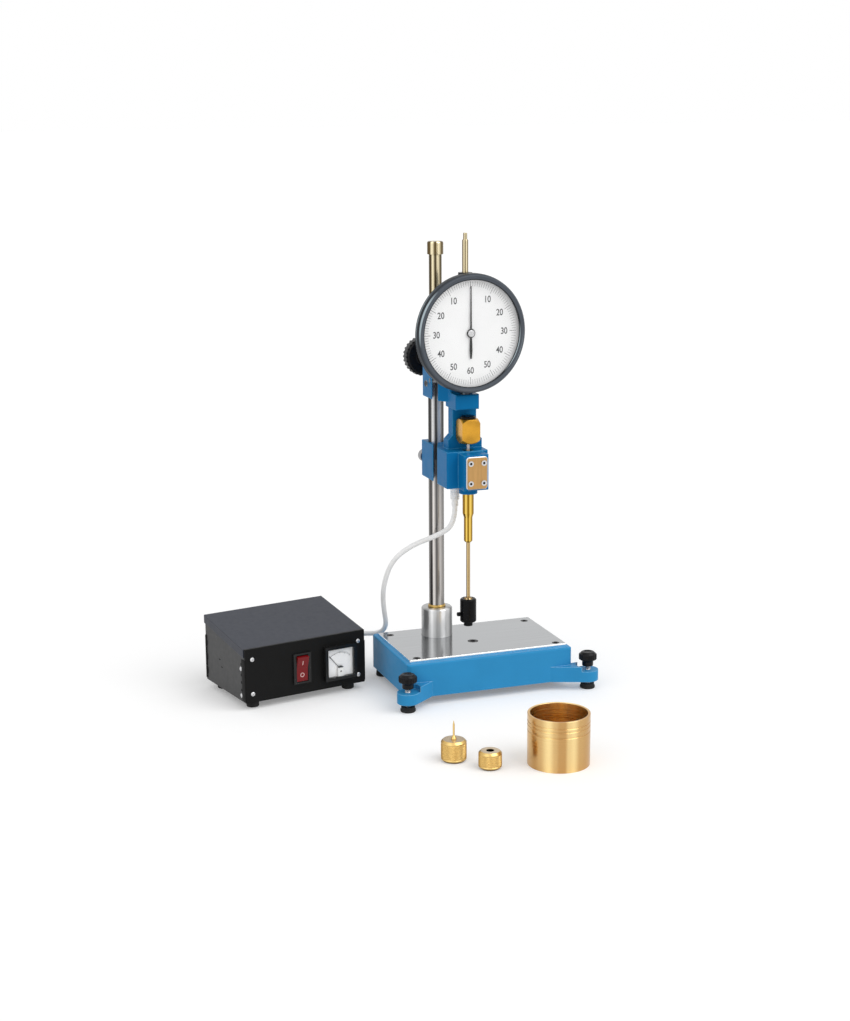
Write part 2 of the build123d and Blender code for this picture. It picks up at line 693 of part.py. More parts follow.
def head_casting():
    """One casting: two clamp arms on the column, joined by the neck."""
    body = lower_arm() + upper_arm() + neck()
    body -= post(COLUMN_X, COLUMN_Y, LOWER_Z0, UPPER_Z1, COLUMN_R + FIT)
    body -= slit(LOWER_SLIT_W, LOWER_Z0, LOWER_Z1)
    body -= slit(UPPER_SLIT_W, UPPER_Z0, UPPER_Z1)
    body -= post(PLUNGER_X, PLUNGER_Y, LOWER_Z0 - BOTTOM_BOSS_H, LOWER_Z1, GUIDE_R + FIT)
    body -= post(DIAL_X, PLUNGER_Y, STEM_Z0, STEM_Z1, STEM_R + FIT)
    body -= bar_y(PLUNGER_X, MAGNET_Z, BLOCK_FRONT, BLOCK_FRONT + CAVITY_L, CAVITY_R)
    body -= bar_y(PLUNGER_X, MAGNET_Z, BLOCK_FRONT, PLUNGER_Y, BRAKE_PIN_R + FIT)
    body -= bar_y(COLUMN_X, LOCK_Z, COLUMN_Y, UPPER_REAR + LOCK_BOSS_L, LOCK_STUD_R + FIT)
    for x, z in cover_screw_places():
        body -= bar_y(x, z, BLOCK_FRONT, BLOCK_FRONT + COVER_SCREW_L + FIT, COVER_SCREW_R + FIT)
    body -= pinch_screw(PINCH_SCREW_R + FIT, PINCH_SCREW_L)
    body -= rear_screw(FIT)
    body -= set_screw(FIT)
    return body


def make_head():
    """Casting of the head and the screws in its clamps."""
    rear_head = bar_y(COLUMN_X + REAR_SCREW_OFFSET, LOWER_Z0 + REAR_SCREW_LIFT, LOWER_REAR,
                      LOWER_REAR + REAR_SCREW_HEAD_H, REAR_SCREW_HEAD_R)
    rear_head = fillet(rear_head.faces().sort_by(Axis.Y)[-1].edges(), REAR_SCREW_HEAD_EDGE)
    save("head_casting", head_casting())
    save("clamp_screws", pinch_screw(PINCH_SCREW_R, PINCH_SCREW_L), rear_head + rear_screw(0), set_screw(0))


def make_lock():
    """Ribbed knob and stud that press on the back of the column."""
    hub_y = UPPER_REAR + LOCK_BOSS_L + LOCK_KNOB_GAP
    knob_y = hub_y + LOCK_HUB_L
    stud_end = knob_y + LOCK_KNOB_SOCKET
    knob = bar_y(COLUMN_X, LOCK_Z, knob_y, knob_y + LOCK_KNOB_T, LOCK_KNOB_R)
    knob = chamfer(knob.edges().filter_by(GeomType.CIRCLE), LOCK_KNOB_EDGE)
    knob += bar_y(COLUMN_X, LOCK_Z, hub_y, knob_y, LOCK_HUB_R)
    knob -= bar_y(COLUMN_X, LOCK_Z, hub_y, stud_end, LOCK_STUD_R + FIT)
    save("lock_knob", knob)
    save("lock_stud", bar_y(COLUMN_X, LOCK_Z, COLUMN_Y + COLUMN_R + 2 * FIT, stud_end, LOCK_STUD_R))


def make_plunger():
    """Falling plunger: head, disc, rod, tail and needle holder, in its guide."""
    place = Pos(PLUNGER_X, PLUNGER_Y, 0)
    nose_top = LOWER_Z0 - GUIDE_DROP - GUIDE_TAPER
    nose_end = nose_top - GUIDE_NOSE_L
    bore = TAIL_R + FIT
    guide = place * turned([
        (bore, LOWER_Z1), (GUIDE_R, LOWER_Z1), (GUIDE_R, LOWER_Z0 - GUIDE_DROP),
        (GUIDE_NOSE_R, nose_top), (GUIDE_NOSE_R, nose_end + GUIDE_NOSE_EDGE),
        (GUIDE_NOSE_R - GUIDE_NOSE_EDGE, nose_end), (bore, nose_end)])
    guide -= bar_y(PLUNGER_X, MAGNET_Z, PLUNGER_Y - 2 * GUIDE_R, PLUNGER_Y, BRAKE_PIN_R + FIT)
    side = PLUNGER_SQUARE / 2
    corner = side * math.sqrt(2)
    square = block(PLUNGER_X - side, PLUNGER_X + side, PLUNGER_Y - side, PLUNGER_Y + side, HEAD_Z0, HEAD_Z1)
    barrel = place * turned([
        (0, HEAD_Z0), (side, HEAD_Z0), (corner, HEAD_Z0 + PLUNGER_CHAMFER),
        (corner, HEAD_Z1 - PLUNGER_CHAMFER), (side, HEAD_Z1), (0, HEAD_Z1)])
    rod_top = HEAD_Z0 + ROD_SOCKET
    tail_end = HOLDER_Z1 - HOLDER_SOCKET
    head = square & barrel
    head -= post(PLUNGER_X, PLUNGER_Y, HEAD_Z0, rod_top, ROD_R + FIT)
    holder = post(PLUNGER_X, PLUNGER_Y, HOLDER_Z0, HOLDER_Z1, HOLDER_R)
    holder = chamfer(holder.edges().filter_by(GeomType.CIRCLE), HOLDER_EDGE)
    holder += post(PLUNGER_X, PLUNGER_Y, NOSE_Z0, HOLDER_Z0 + HOLDER_EDGE, NOSE_R)
    holder -= post(PLUNGER_X, PLUNGER_Y, tail_end, HOLDER_Z1, TAIL_R + FIT)
    holder -= post(PLUNGER_X, PLUNGER_Y, NOSE_Z0, NOSE_Z0 + NEEDLE_SOCKET_L, NEEDLE_SOCKET_R)
    thumb_z = HOLDER_Z0 + THUMB_LIFT
    thumb_in = PLUNGER_X - HOLDER_R - GLIDE
    holder -= bar_x(PLUNGER_Y, thumb_z, PLUNGER_X - HOLDER_R, PLUNGER_X, THUMB_SHANK_R + FIT)
    thumb = bar_x(PLUNGER_Y, thumb_z, thumb_in - THUMB_L, thumb_in, THUMB_R)
    thumb += bar_x(PLUNGER_Y, thumb_z, thumb_in, PLUNGER_X - NEEDLE_SOCKET_R - GLIDE, THUMB_SHANK_R)
    save("plunger_guide", guide)
    save("plunger_head", head)
    save("plunger_disc", post(PLUNGER_X, PLUNGER_Y, HEAD_Z1, DISC_Z1, PLUNGER_DISC_R))
    save("plunger_rod", post(PLUNGER_X, PLUNGER_Y, ROD_JOIN, rod_top, ROD_R))
    save("plunger_tail", post(PLUNGER_X, PLUNGER_Y, tail_end, ROD_JOIN, TAIL_R))
    save("needle_holder", holder)
    save("holder_screw", thumb)


def make_release():
    """Magnet coil, armature with brake pin, and the screwed cover."""
    coil_front = BLOCK_FRONT + COIL_SET
    coil = bar_y(PLUNGER_X, MAGNET_Z, coil_front, coil_front + COIL_L, COIL_R)
    coil -= bar_y(PLUNGER_X, MAGNET_Z, coil_front, coil_front + COIL_L, COIL_BORE_R)
    disc_back = BLOCK_FRONT + CAVITY_L - GLIDE
    disc_front = disc_back - ARMATURE_DISC_T
    armature = bar_y(PLUNGER_X, MAGNET_Z, disc_front - ARMATURE_L, disc_front, ARMATURE_R)
    armature += bar_y(PLUNGER_X, MAGNET_Z, disc_front, disc_back, ARMATURE_DISC_R)
    armature += bar_y(PLUNGER_X, MAGNET_Z, disc_back, PLUNGER_Y - ROD_R - 2 * FIT, BRAKE_PIN_R)
    cover_front = BLOCK_FRONT - COVER_T
    cover = block(PLUNGER_X - COVER_W / 2, PLUNGER_X + COVER_W / 2, cover_front, BLOCK_FRONT,
                  MAGNET_Z - COVER_H / 2, MAGNET_Z + COVER_H / 2)
    cover = fillet(cover.edges().filter_by(Axis.Y), COVER_CORNER_R)
    screws = []
    for x, z in cover_screw_places():
        cover -= bar_y(x, z, cover_front, BLOCK_FRONT, COVER_SCREW_R + FIT)
        screw = bar_y(x, z, cover_front - COVER_SCREW_HEAD_H, cover_front, COVER_SCREW_HEAD_R)
        socket = Pos(x, cover_front - COVER_SCREW_HEAD_H, z) * Rot(X=90) * extrude(
            RegularPolygon(COVER_SCREW_HEAD_R * SOCKET_SHARE, 6), -COVER_SCREW_HEAD_H / 2)
        shank = bar_y(x, z, cover_front, BLOCK_FRONT + COVER_SCREW_L, COVER_SCREW_R)
        screws.append(screw + shank - socket)
    save("release_coil", coil)
    save("release_armature", armature)
    save("magnet_cover", cover)
    save("cover_screws", *screws)


def dial_turned(profile):
    """Solid turned about the dial's arbor, from (radius, distance in front of the rod) points."""
    return Pos(0, 0, DIAL_Z) * Rot(X=90) * turned(profile)


def dial_cup(radius, back):
    """Round body of the case, bevelled behind, from its mouth to a back face."""
    return dial_turned([
        (0, CASE_FRONT), (radius, CASE_FRONT), (radius, CASE_BEVEL - back),
        (radius - CASE_BEVEL, -back), (0, -back)])


def make_dial_body():
    """Case with its stem, the top bush and the bridge that carries the arbor."""
    rod_bore = post(0, 0, STEM_Z0, DIAL_Z + 2 * CASE_R, DIAL_ROD_R + FIT)
    outside = dial_cup(CASE_R, CASE_BACK)
    case = outside + post(0, 0, STEM_Z0, DIAL_Z - CASE_R + STEM_REACH, STEM_R)
    case -= dial_cup(CASE_R - CASE_WALL, CASE_BACK - CASE_WALL)
    bush = post(0, 0, DIAL_Z + CASE_R - CASE_BEVEL, DIAL_Z + CASE_R + TOP_BUSH_H, TOP_BUSH_R)
    bush -= outside
    bridge_back = -DIAL_ROD_R - BRIDGE_T
    bridge_front = bridge_back - BRIDGE_T
    bridge = block(-BRIDGE_W / 2, BRIDGE_W / 2, bridge_front, bridge_back,
                   DIAL_Z - BRIDGE_H / 2, DIAL_Z + BRIDGE_H / 2)
    for x in (-BRIDGE_POST_X, BRIDGE_POST_X):
        bridge += bar_y(x, DIAL_Z, bridge_front, CASE_BACK - CASE_WALL, BRIDGE_POST_R)
    bridge -= bar_y(0, DIAL_Z, bridge_front, bridge_back, ARBOR_R + FIT)
    save("dial_case", DIAL_FRAME * (case - rod_bore))
    save("rod_bush", DIAL_FRAME * (bush - rod_bore))
    save("arbor_bridge", DIAL_FRAME * bridge)


def make_dial_front():
    """Turning bezel with the dial face and crystal that it carries."""
    bezel = dial_turned([
        (BEZEL_SKIRT_R, -BEZEL_BACK), (BEZEL_R, -BEZEL_BACK), (BEZEL_R, -BEZEL_FRONT - BEZEL_EDGE),
        (BEZEL_R - BEZEL_EDGE, -BEZEL_FRONT), (BEZEL_LIP_R, -BEZEL_FRONT), (BEZEL_LIP_R, -CRYSTAL_FRONT),
        (BEZEL_SKIRT_R, -CRYSTAL_FRONT)])
    crystal = bar_y(0, DIAL_Z, CRYSTAL_FRONT, CRYSTAL_BACK, CASE_R)
    face = bar_y(0, DIAL_Z, FACE_FRONT, FACE_BACK, CASE_R)
    face -= bar_y(0, DIAL_Z, FACE_FRONT, FACE_BACK, ARBOR_HOLE_R)
    save("bezel", DIAL_FRAME * bezel)
    save("dial_crystal", DIAL_FRAME * crystal)
    save("dial_face", DIAL_FRAME * face)


def make_dial_motion():
    """Gauge rod, and the pointer on its arbor."""
    rod_top = DIAL_Z + CASE_R + TOP_BUSH_H + DIAL_ROD_RISE
    rod = post(0, 0, STEM_Z0, rod_top, DIAL_ROD_R)
    rod += post(0, 0, rod_top, rod_top + DIAL_TIP_H, DIAL_TIP_R)
    half = POINTER_W / 2
    tail_half = POINTER_TAIL_W / 2
    lance = front_prism([
        (-half, DIAL_Z), (-half / 2, DIAL_Z + POINTER_L), (half / 2, DIAL_Z + POINTER_L), (half, DIAL_Z),
        (tail_half, DIAL_Z - POINTER_WIDEST), (half, DIAL_Z - POINTER_TAIL),
        (-half, DIAL_Z - POINTER_TAIL), (-tail_half, DIAL_Z - POINTER_WIDEST)],
        POINTER_BACK - POINTER_T, POINTER_BACK)
    pointer = lance + bar_y(0, DIAL_Z, POINTER_BACK - POINTER_T, POINTER_BACK, POINTER_BOSS_R)
    pointer -= bar_y(0, DIAL_Z, POINTER_BACK - POINTER_T, POINTER_BACK, ARBOR_R + FIT)
    hub = bar_y(0, DIAL_Z, HUB_FRONT, HUB_FRONT + HUB_T, HUB_R)
    hub += bar_y(0, DIAL_Z, HUB_FRONT, -DIAL_ROD_R - BRIDGE_T + GLIDE, ARBOR_R)
    save("dial_rod", DIAL_FRAME * rod)
    save("pointer", DIAL_FRAME * pointer)
    save("pointer_arbor", DIAL_FRAME * hub)


def lid_underside(y):
    """Height of the sloping lid's underside at a depth of the box."""
    return BOX_FOOT_H + BOX_FRONT_H + BOX_RISE * (y - BOX_FRONT) / BOX_D


def controller_case():
    """Folded floor and side walls, with four posts for the circuit board."""
    half = BOX_W / 2
    inner = half - BOX_SHEET
    back = BOX_D / 2
    front = BOX_FRONT + PANEL_T
    floor = BOX_FOOT_H
    wall = [(front, floor), (back, floor), (back, lid_underside(back)), (front, lid_underside(front))]
    case = block(-half, half, front, back, floor, floor + BOX_SHEET)
    case += side_prism(wall, -half, -inner) + side_prism(wall, inner, half)
    for x in (BOARD_X - BOARD_W / 2 + BOARD_POST_INSET, BOARD_X + BOARD_W / 2 - BOARD_POST_INSET):
        for y in (BOARD_Y - BOARD_D / 2 + BOARD_POST_INSET, BOARD_Y + BOARD_D / 2 - BOARD_POST_INSET):
            case += post(x, y, floor, floor + BOX_SHEET + BOARD_POST_H, BOARD_POST_R)
    return case - bar_x(GLAND_Y, floor + GLAND_LIFT, inner, half, GLAND_SPIGOT_R + FIT)


def panel_block(x, half_w, half_h, y0, y1):
    """Box centred on the instruments' line of the front panel."""
    return block(x - half_w, x + half_w, y0, y1, PANEL_MID_Z - half_h, PANEL_MID_Z + half_h)


def front_panel():
    """Full front plate, a rim higher than the lid, with the openings of the switch and the meter."""
    half = BOX_W / 2
    back = BOX_FRONT + PANEL_T
    panel = block(-half, half, BOX_FRONT, back, BOX_FOOT_H, lid_underside(back) + LID_T + PANEL_RIM)
    open_w = SWITCH_W / 2 - SWITCH_WALL
    open_h = SWITCH_H / 2 - SWITCH_WALL
    panel -= panel_block(ROCKER_X, open_w, open_h, BOX_FRONT, back)
    return panel - bar_y(METER_X, PANEL_MID_Z, BOX_FRONT, back, METER_CAN_R + FIT)


def inlet_block(clearance, y0, y1):
    """Body of the mains inlet, or its opening when a clearance is added."""
    half_w = INLET_W / 2 + clearance
    half_h = INLET_H / 2 + clearance
    z = BOX_FOOT_H + INLET_LIFT
    return block(INLET_X - half_w, INLET_X + half_w, y0, y1, z - half_h, z + half_h)


def rear_panel():
    """Panel with the opening of the mains inlet."""
    inner = BOX_W / 2 - BOX_SHEET
    back = BOX_D / 2
    front = back - PANEL_T
    floor = BOX_FOOT_H + BOX_SHEET
    outline = [(front, floor), (back, floor), (back, lid_underside(back)), (front, lid_underside(front))]
    return side_prism(outline, -inner, inner) - inlet_block(FIT, front, back)


def mains_inlet():
    """Flanged socket in the rear panel."""
    back = BOX_D / 2
    body = inlet_block(0, back - INLET_D, back) + inlet_block(INLET_FLANGE, back, back + INLET_FLANGE_T)
    return body - inlet_block(-INLET_WALL, back - INLET_D + INLET_WALL, back + INLET_FLANGE_T)


def controller_lid():
    """Sloping lid with a lip down each side."""
    edge = BOX_W / 2 + LID_OVERHANG
    lip_in = BOX_W / 2 + FIT
    front = BOX_FRONT + PANEL_T
    back = BOX_D / 2 + LID_OVERHANG
    top = [(back, lid_underside(back) + LID_T), (front, lid_underside(front) + LID_T)]
    slab = [(front, lid_underside(front)), (back, lid_underside(back))] + top
    lip = [(front, lid_underside(front) - LID_LIP), (back, lid_underside(back) - LID_LIP)] + top
    return side_prism(slab, -edge, edge) + side_prism(lip, -edge, -lip_in) + side_prism(lip, lip_in, edge)


def controller_screws():
    """Round screw heads on the front panel and the side walls."""
    half = BOX_W / 2
    screws = []
    for z in (PANEL_MID_Z - PANEL_SCREW_Z, PANEL_MID_Z + PANEL_SCREW_Z):
        for x in (-PANEL_SCREW_X, PANEL_SCREW_X):
            screws.append(bar_y(x, z, BOX_FRONT - PANEL_SCREW_T, BOX_FRONT, PANEL_SCREW_R))
    low = PANEL_MID_Z - PANEL_SCREW_Z - SIDE_SCREW_DROP
    for z in (low, low + SIDE_SCREW_PITCH):
        screws.append(bar_x(BOX_FRONT + SIDE_SCREW_Y, z, half, half + PANEL_SCREW_T, PANEL_SCREW_R))
        screws.append(bar_x(BOX_FRONT + SIDE_SCREW_Y, z, -half - PANEL_SCREW_T, -half, PANEL_SCREW_R))
    return screws


def make_controller_shell():
    """Case, panels, lid, feet and screws of the controller box."""
    foot_x = BOX_W / 2 - BOX_FOOT_INSET
    foot_y = BOX_D / 2 - BOX_FOOT_INSET
    feet = [post(x, y, 0, BOX_FOOT_H, BOX_FOOT_R) for x in (-foot_x, foot_x) for y in (-foot_y, foot_y)]
    save("controller_case", BOX_FRAME * controller_case())
    save("front_panel", BOX_FRAME * front_panel())
    save("rear_panel", BOX_FRAME * rear_panel())
    save("mains_inlet", BOX_FRAME * mains_inlet())
    save("controller_lid", BOX_FRAME * controller_lid())
    save("controller_screws", *[BOX_FRAME * screw for screw in controller_screws()])
    save("controller_feet", *[BOX_FRAME * foot for foot in feet])


def make_controller_inside():
    """Transformer and circuit board on the case floor, and the lead's gland."""
    floor = BOX_FOOT_H + BOX_SHEET
    transformer = Pos(TRANSFORMER_X, TRANSFORMER_Y, floor + TRANSFORMER_H / 2) * Box(
        TRANSFORMER_W, TRANSFORMER_D, TRANSFORMER_H)
    transformer = chamfer(transformer.edges().filter_by(Axis.Z), TRANSFORMER_EDGE)
    board_z = floor + BOARD_POST_H
    board = Pos(BOARD_X, BOARD_Y, board_z + BOARD_T / 2) * Box(BOARD_W, BOARD_D, BOARD_T)
    gland_z = BOX_FOOT_H + GLAND_LIFT
    gland = bar_x(GLAND_Y, gland_z, BOX_W / 2, BOX_W / 2 + GLAND_L, GLAND_R)
    gland = fillet(gland.faces().sort_by(Axis.X)[-1].edges(), GLAND_EDGE)
    gland += bar_x(GLAND_Y, gland_z, BOX_W / 2 - GLAND_SPIGOT_L, BOX_W / 2, GLAND_SPIGOT_R)
    save("transformer", BOX_FRAME * transformer)
    save("circuit_board", BOX_FRAME * board)
    save("lead_gland", BOX_FRAME * gland)


def make_switch():
    """Rocker switch: bezel with its box behind the panel, and the red rocker."""
    half_w = SWITCH_W / 2
    half_h = SWITCH_H / 2
    box_back = BOX_FRONT + SWITCH_BODY_D
    pivot_y = BOX_FRONT + SWITCH_WALL
    bezel = panel_block(ROCKER_X, half_w, half_h, BOX_FRONT - SWITCH_PROUD, BOX_FRONT)
    rim = SWITCH_WALL + FIT
    bezel += panel_block(ROCKER_X, half_w - rim, half_h - rim, BOX_FRONT, box_back)
    well_w = ROCKER_W / 2 + GLIDE
    well_h = ROCKER_H / 2 + 2 * GLIDE
    bezel -= panel_block(ROCKER_X, well_w, well_h, BOX_FRONT - SWITCH_PROUD, box_back - SWITCH_WALL)
    reach = well_w + SWITCH_WALL / 2
    hole = reach + FIT
    bezel -= bar_x(pivot_y, PANEL_MID_Z, ROCKER_X - hole, ROCKER_X + hole, ROCKER_PIN_R + FIT)
    tip = ROCKER_H / 2 - GLIDE
    crest = -ROCKER_PROUD - ROCKER_DISH
    rocker = side_prism([
        (crest, -tip), (-ROCKER_PROUD, 0), (crest, tip), (0, tip),
        (ROCKER_BACK, 0), (0, -tip)],
        -ROCKER_W / 2, ROCKER_W / 2)
    rocker += bar_x(0, 0, -reach, reach, ROCKER_PIN_R)
    save("switch_bezel", BOX_FRAME * bezel)
    save("rocker", BOX_FRAME * Pos(ROCKER_X, pivot_y, PANEL_MID_Z) * Rot(X=ROCKER_TILT) * rocker)


def make_meter():
    """Small panel meter: housing, scale plate, needle and window."""
    front = BOX_FRONT - METER_PROUD
    half_w = METER_W / 2
    half_h = METER_H / 2
    open_w = half_w - METER_WALL
    open_h = half_h - METER_WALL
    floor_y = BOX_FRONT - METER_GLASS_T
    face_front = floor_y - METER_FACE_T
    needle_back = face_front - GLIDE
    needle_front = needle_back - METER_NEEDLE_T
    glass_back = front + METER_GLASS_T
    pivot_z = PANEL_MID_Z - METER_PIVOT_DROP
    housing = panel_block(METER_X, half_w, half_h, front, BOX_FRONT)
    housing -= panel_block(METER_X, open_w, open_h, front, floor_y)
    hood = bar_y(METER_X, pivot_z, glass_back + FIT, needle_front - GLIDE, METER_HOOD_R)
    hood += block(METER_X - METER_HOOD_R, METER_X + METER_HOOD_R, glass_back + FIT, needle_front - GLIDE,
                  PANEL_MID_Z - open_h - FIT, pivot_z)
    housing += hood
    housing += bar_y(METER_X, PANEL_MID_Z, BOX_FRONT, BOX_FRONT + METER_CAN_L, METER_CAN_R)
    housing -= bar_y(METER_X, pivot_z, floor_y, BOX_FRONT, METER_PIVOT_R + FIT)
    face = panel_block(METER_X, open_w, open_h, face_front, floor_y)
    face -= bar_y(METER_X, pivot_z, face_front, floor_y, METER_PIVOT_R + FIT)
    window = panel_block(METER_X, open_w, open_h, front, glass_back)
    half_t = METER_NEEDLE_T / 2
    needle = block(-half_t, half_t, needle_front, needle_back, -METER_HOOD_R / 2, METER_NEEDLE_L)
    needle = Rot(Y=-METER_REST) * (needle + bar_y(0, 0, needle_front, needle_back, 2 * METER_PIVOT_R))
    needle += bar_y(0, 0, needle_front, BOX_FRONT - FIT, METER_PIVOT_R)
    save("meter_housing", BOX_FRAME * housing)
    save("meter_face", BOX_FRAME * face)
    save("meter_window", BOX_FRAME * window)
    save("meter_needle", BOX_FRAME * Pos(METER_X, 0, pivot_z) * needle)


def lead_route():
    """Points of the lead from the head's strain relief to the controller's gland."""
    gland_x = BOX_W / 2 + GLAND_L
    gland_z = BOX_FOOT_H + GLAND_LIFT
    end = (BOX_FRAME * Pos(gland_x, GLAND_Y, gland_z)).position
    before = (BOX_FRAME * Pos(gland_x + LEAD_END_RUN, GLAND_Y, gland_z)).position
    start = Vector(RELIEF_X, RELIEF_Y, RELIEF_END)
    upper = [start + Vector(*offset) for offset in LEAD_UPPER_BENDS]
    lower = [end + Vector(*offset) for offset in LEAD_LOWER_BENDS]
    return [start] + upper + lower + [before, end]


def make_lead():
    """White lead, and the stepped strain relief under the lower arm."""
    route = lead_route()
    radii = []
    for a, b, c in zip(route, route[1:], route[2:]):
        turn = math.radians((b - a).get_angle(c - b))
        radii.append(LEAD_ARC_SHARE * min((b - a).length, (c - b).length) / math.tan(turn / 2))
    path = FilletPolyline(*route, radius=radii)
    lead = sweep(Plane(path @ 0, z_dir=path % 0) * Circle(LEAD_R), path=path)
    print("lead radii", [round(radius, 1) for radius in radii])
    section = math.pi * LEAD_R ** 2
    ratio = lead.volume / section / path.length
    print("lead length", round(path.length, 1), "volume ratio", round(ratio, 5))
    relief = post(RELIEF_X, RELIEF_Y, LOWER_Z0 - RELIEF_L, LOWER_Z0, RELIEF_R)
    relief += post(RELIEF_X, RELIEF_Y, RELIEF_END, LOWER_Z0 - RELIEF_L, RELIEF_NOSE_R)
    save("lead", lead)
    save("strain_relief", relief)


def weight(radius, height):
    """Round weight with bevelled ends, standing on the bench."""
    body = Pos(0, 0, height / 2) * Cylinder(radius, height)
    return chamfer(body.edges().filter_by(GeomType.CIRCLE), WEIGHT_EDGE)


def make_loose_pieces():
    """Sample cup, the two weights and the needle in the larger one."""
    inner = CUP_R - CUP_WALL
    cup = turned([(0, 0), (CUP_R, 0), (CUP_R, CUP_H), (inner, CUP_H), (inner, CUP_FLOOR), (0, CUP_FLOOR)])
    for drop in CUP_GROOVES:
        top = CUP_H - drop
        bottom = top - CUP_GROOVE_W
        root = CUP_R - CUP_GROOVE_DEPTH
        cup -= turned([(root, bottom), (2 * CUP_R, bottom), (2 * CUP_R, top), (root, top)])
    seat = LARGE_WEIGHT_H - NEEDLE_SEAT
    large = weight(LARGE_WEIGHT_R, LARGE_WEIGHT_H) - post(0, 0, seat, LARGE_WEIGHT_H, NEEDLE_R + FIT)
    top = LARGE_WEIGHT_H + NEEDLE_L
    needle = turned([
        (0, seat), (NEEDLE_R, seat), (NEEDLE_R, LARGE_WEIGHT_H),
        (FERRULE_R, LARGE_WEIGHT_H), (NEEDLE_R, LARGE_WEIGHT_H + FERRULE_H),
        (NEEDLE_R, top - NEEDLE_POINT), (NEEDLE_TIP_R, top), (0, top)])
    small = weight(SMALL_WEIGHT_R, SMALL_WEIGHT_H) - post(0, 0, 0, SMALL_WEIGHT_H, SMALL_WEIGHT_BORE_R)
    save("sample_cup", Pos(*CUP_AT, 0) * cup)
    save("large_weight", Pos(*LARGE_WEIGHT_AT, 0) * large)
    save("test_needle", Pos(*LARGE_WEIGHT_AT, 0) * needle)
    save("small_weight", Pos(*SMALL_WEIGHT_AT, 0) * small)


def main():
    """Make every piece."""
    os.makedirs("parts", exist_ok=True)
    make_base()
    make_levelling("left", LEFT_FOOT)
    make_levelling("right", RIGHT_FOOT)
    make_column()
    make_head()
    make_lock()
    make_plunger()
    make_release()
    make_dial_body()
    make_dial_front()
    make_dial_motion()
    make_controller_shell()
    make_controller_inside()
    make_switch()
    make_meter()
    make_lead()
    make_loose_pieces()


if __name__ == "__main__":
    main()
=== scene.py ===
import math

import bmesh
import bpy
from bpy.props import FloatProperty, FloatVectorProperty, IntProperty, PointerProperty
from mathutils import Matrix, Vector


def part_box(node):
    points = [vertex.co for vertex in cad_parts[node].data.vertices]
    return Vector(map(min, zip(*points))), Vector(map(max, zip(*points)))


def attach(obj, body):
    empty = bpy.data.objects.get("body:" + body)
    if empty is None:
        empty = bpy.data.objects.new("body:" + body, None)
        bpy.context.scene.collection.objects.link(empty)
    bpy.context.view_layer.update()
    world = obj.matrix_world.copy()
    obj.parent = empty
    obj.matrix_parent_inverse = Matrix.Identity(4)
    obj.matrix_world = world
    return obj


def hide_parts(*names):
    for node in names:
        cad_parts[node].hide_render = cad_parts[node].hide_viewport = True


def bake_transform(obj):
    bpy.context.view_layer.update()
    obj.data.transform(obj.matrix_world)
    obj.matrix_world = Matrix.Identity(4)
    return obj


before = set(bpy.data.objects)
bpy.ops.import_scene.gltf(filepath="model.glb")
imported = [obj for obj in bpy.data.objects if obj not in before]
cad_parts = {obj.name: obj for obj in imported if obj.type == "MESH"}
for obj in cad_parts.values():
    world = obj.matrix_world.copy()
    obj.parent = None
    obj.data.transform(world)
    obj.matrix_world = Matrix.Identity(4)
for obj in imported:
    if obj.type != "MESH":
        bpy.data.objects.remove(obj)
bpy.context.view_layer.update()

bl_info = {
    "name": "Bench penetrometer",
    "version": (1, 0, 0),
    "blender": (4, 5, 0),
    "location": "View3D > Sidebar > Penetrometer",
    "description": "Dresses the penetrometer's frame with its turned, painted and printed pieces",
    "category": "Object",
}

MM = 0.001
AXIS = 1e-6
FULL_TURN = 2 * math.pi
SHARP_ANGLE = math.radians(35)
STRAIGHT_ANGLE = math.radians(168)

# Viewpoint of the photograph, in pixels, millimetres and degrees
FRAME_H = 1021
FOCAL_PX = 1812.6
SENSOR = 36.0
VIEW_TARGET = (-50.3, 0.0, 140.7)
VIEW_DISTANCE = 1843.6
VIEW_AZIMUTH = -19.37
VIEW_ELEVATION = 12.98
VIEW_ROLL = -0.34

# Turns of the gauge about its rod and of the control box on the bench, in degrees, and the box's sizes
DIAL_TURN = 6.2
BOX_TURN = 11.5
BOX_PLACE = (-188.0, 48.0, -47.0)
BOX_W = 135.0
BOX_D = 95.0
PANEL_MID = 35.0
METER_X = 37.5

# Lead from the head's relief to the control box, in millimetres
LEAD_R = 2.6
LEAD_ROUTE = [
    (-22.3, -12.0, 146.0), (-22.3, -12.0, 126.0), (-36.0, 7.0, 111.0), (-57.0, 22.0, 100.0),
    (-75.0, 33.0, 83.0), (-81.543, 42.65, 56.0), (-79.543, 52.65, 32.0), (-68.543, 69.5, -7.0),
    (-98.404, 86.639, -9.0), (-116.043, 83.05, -9.0),
]

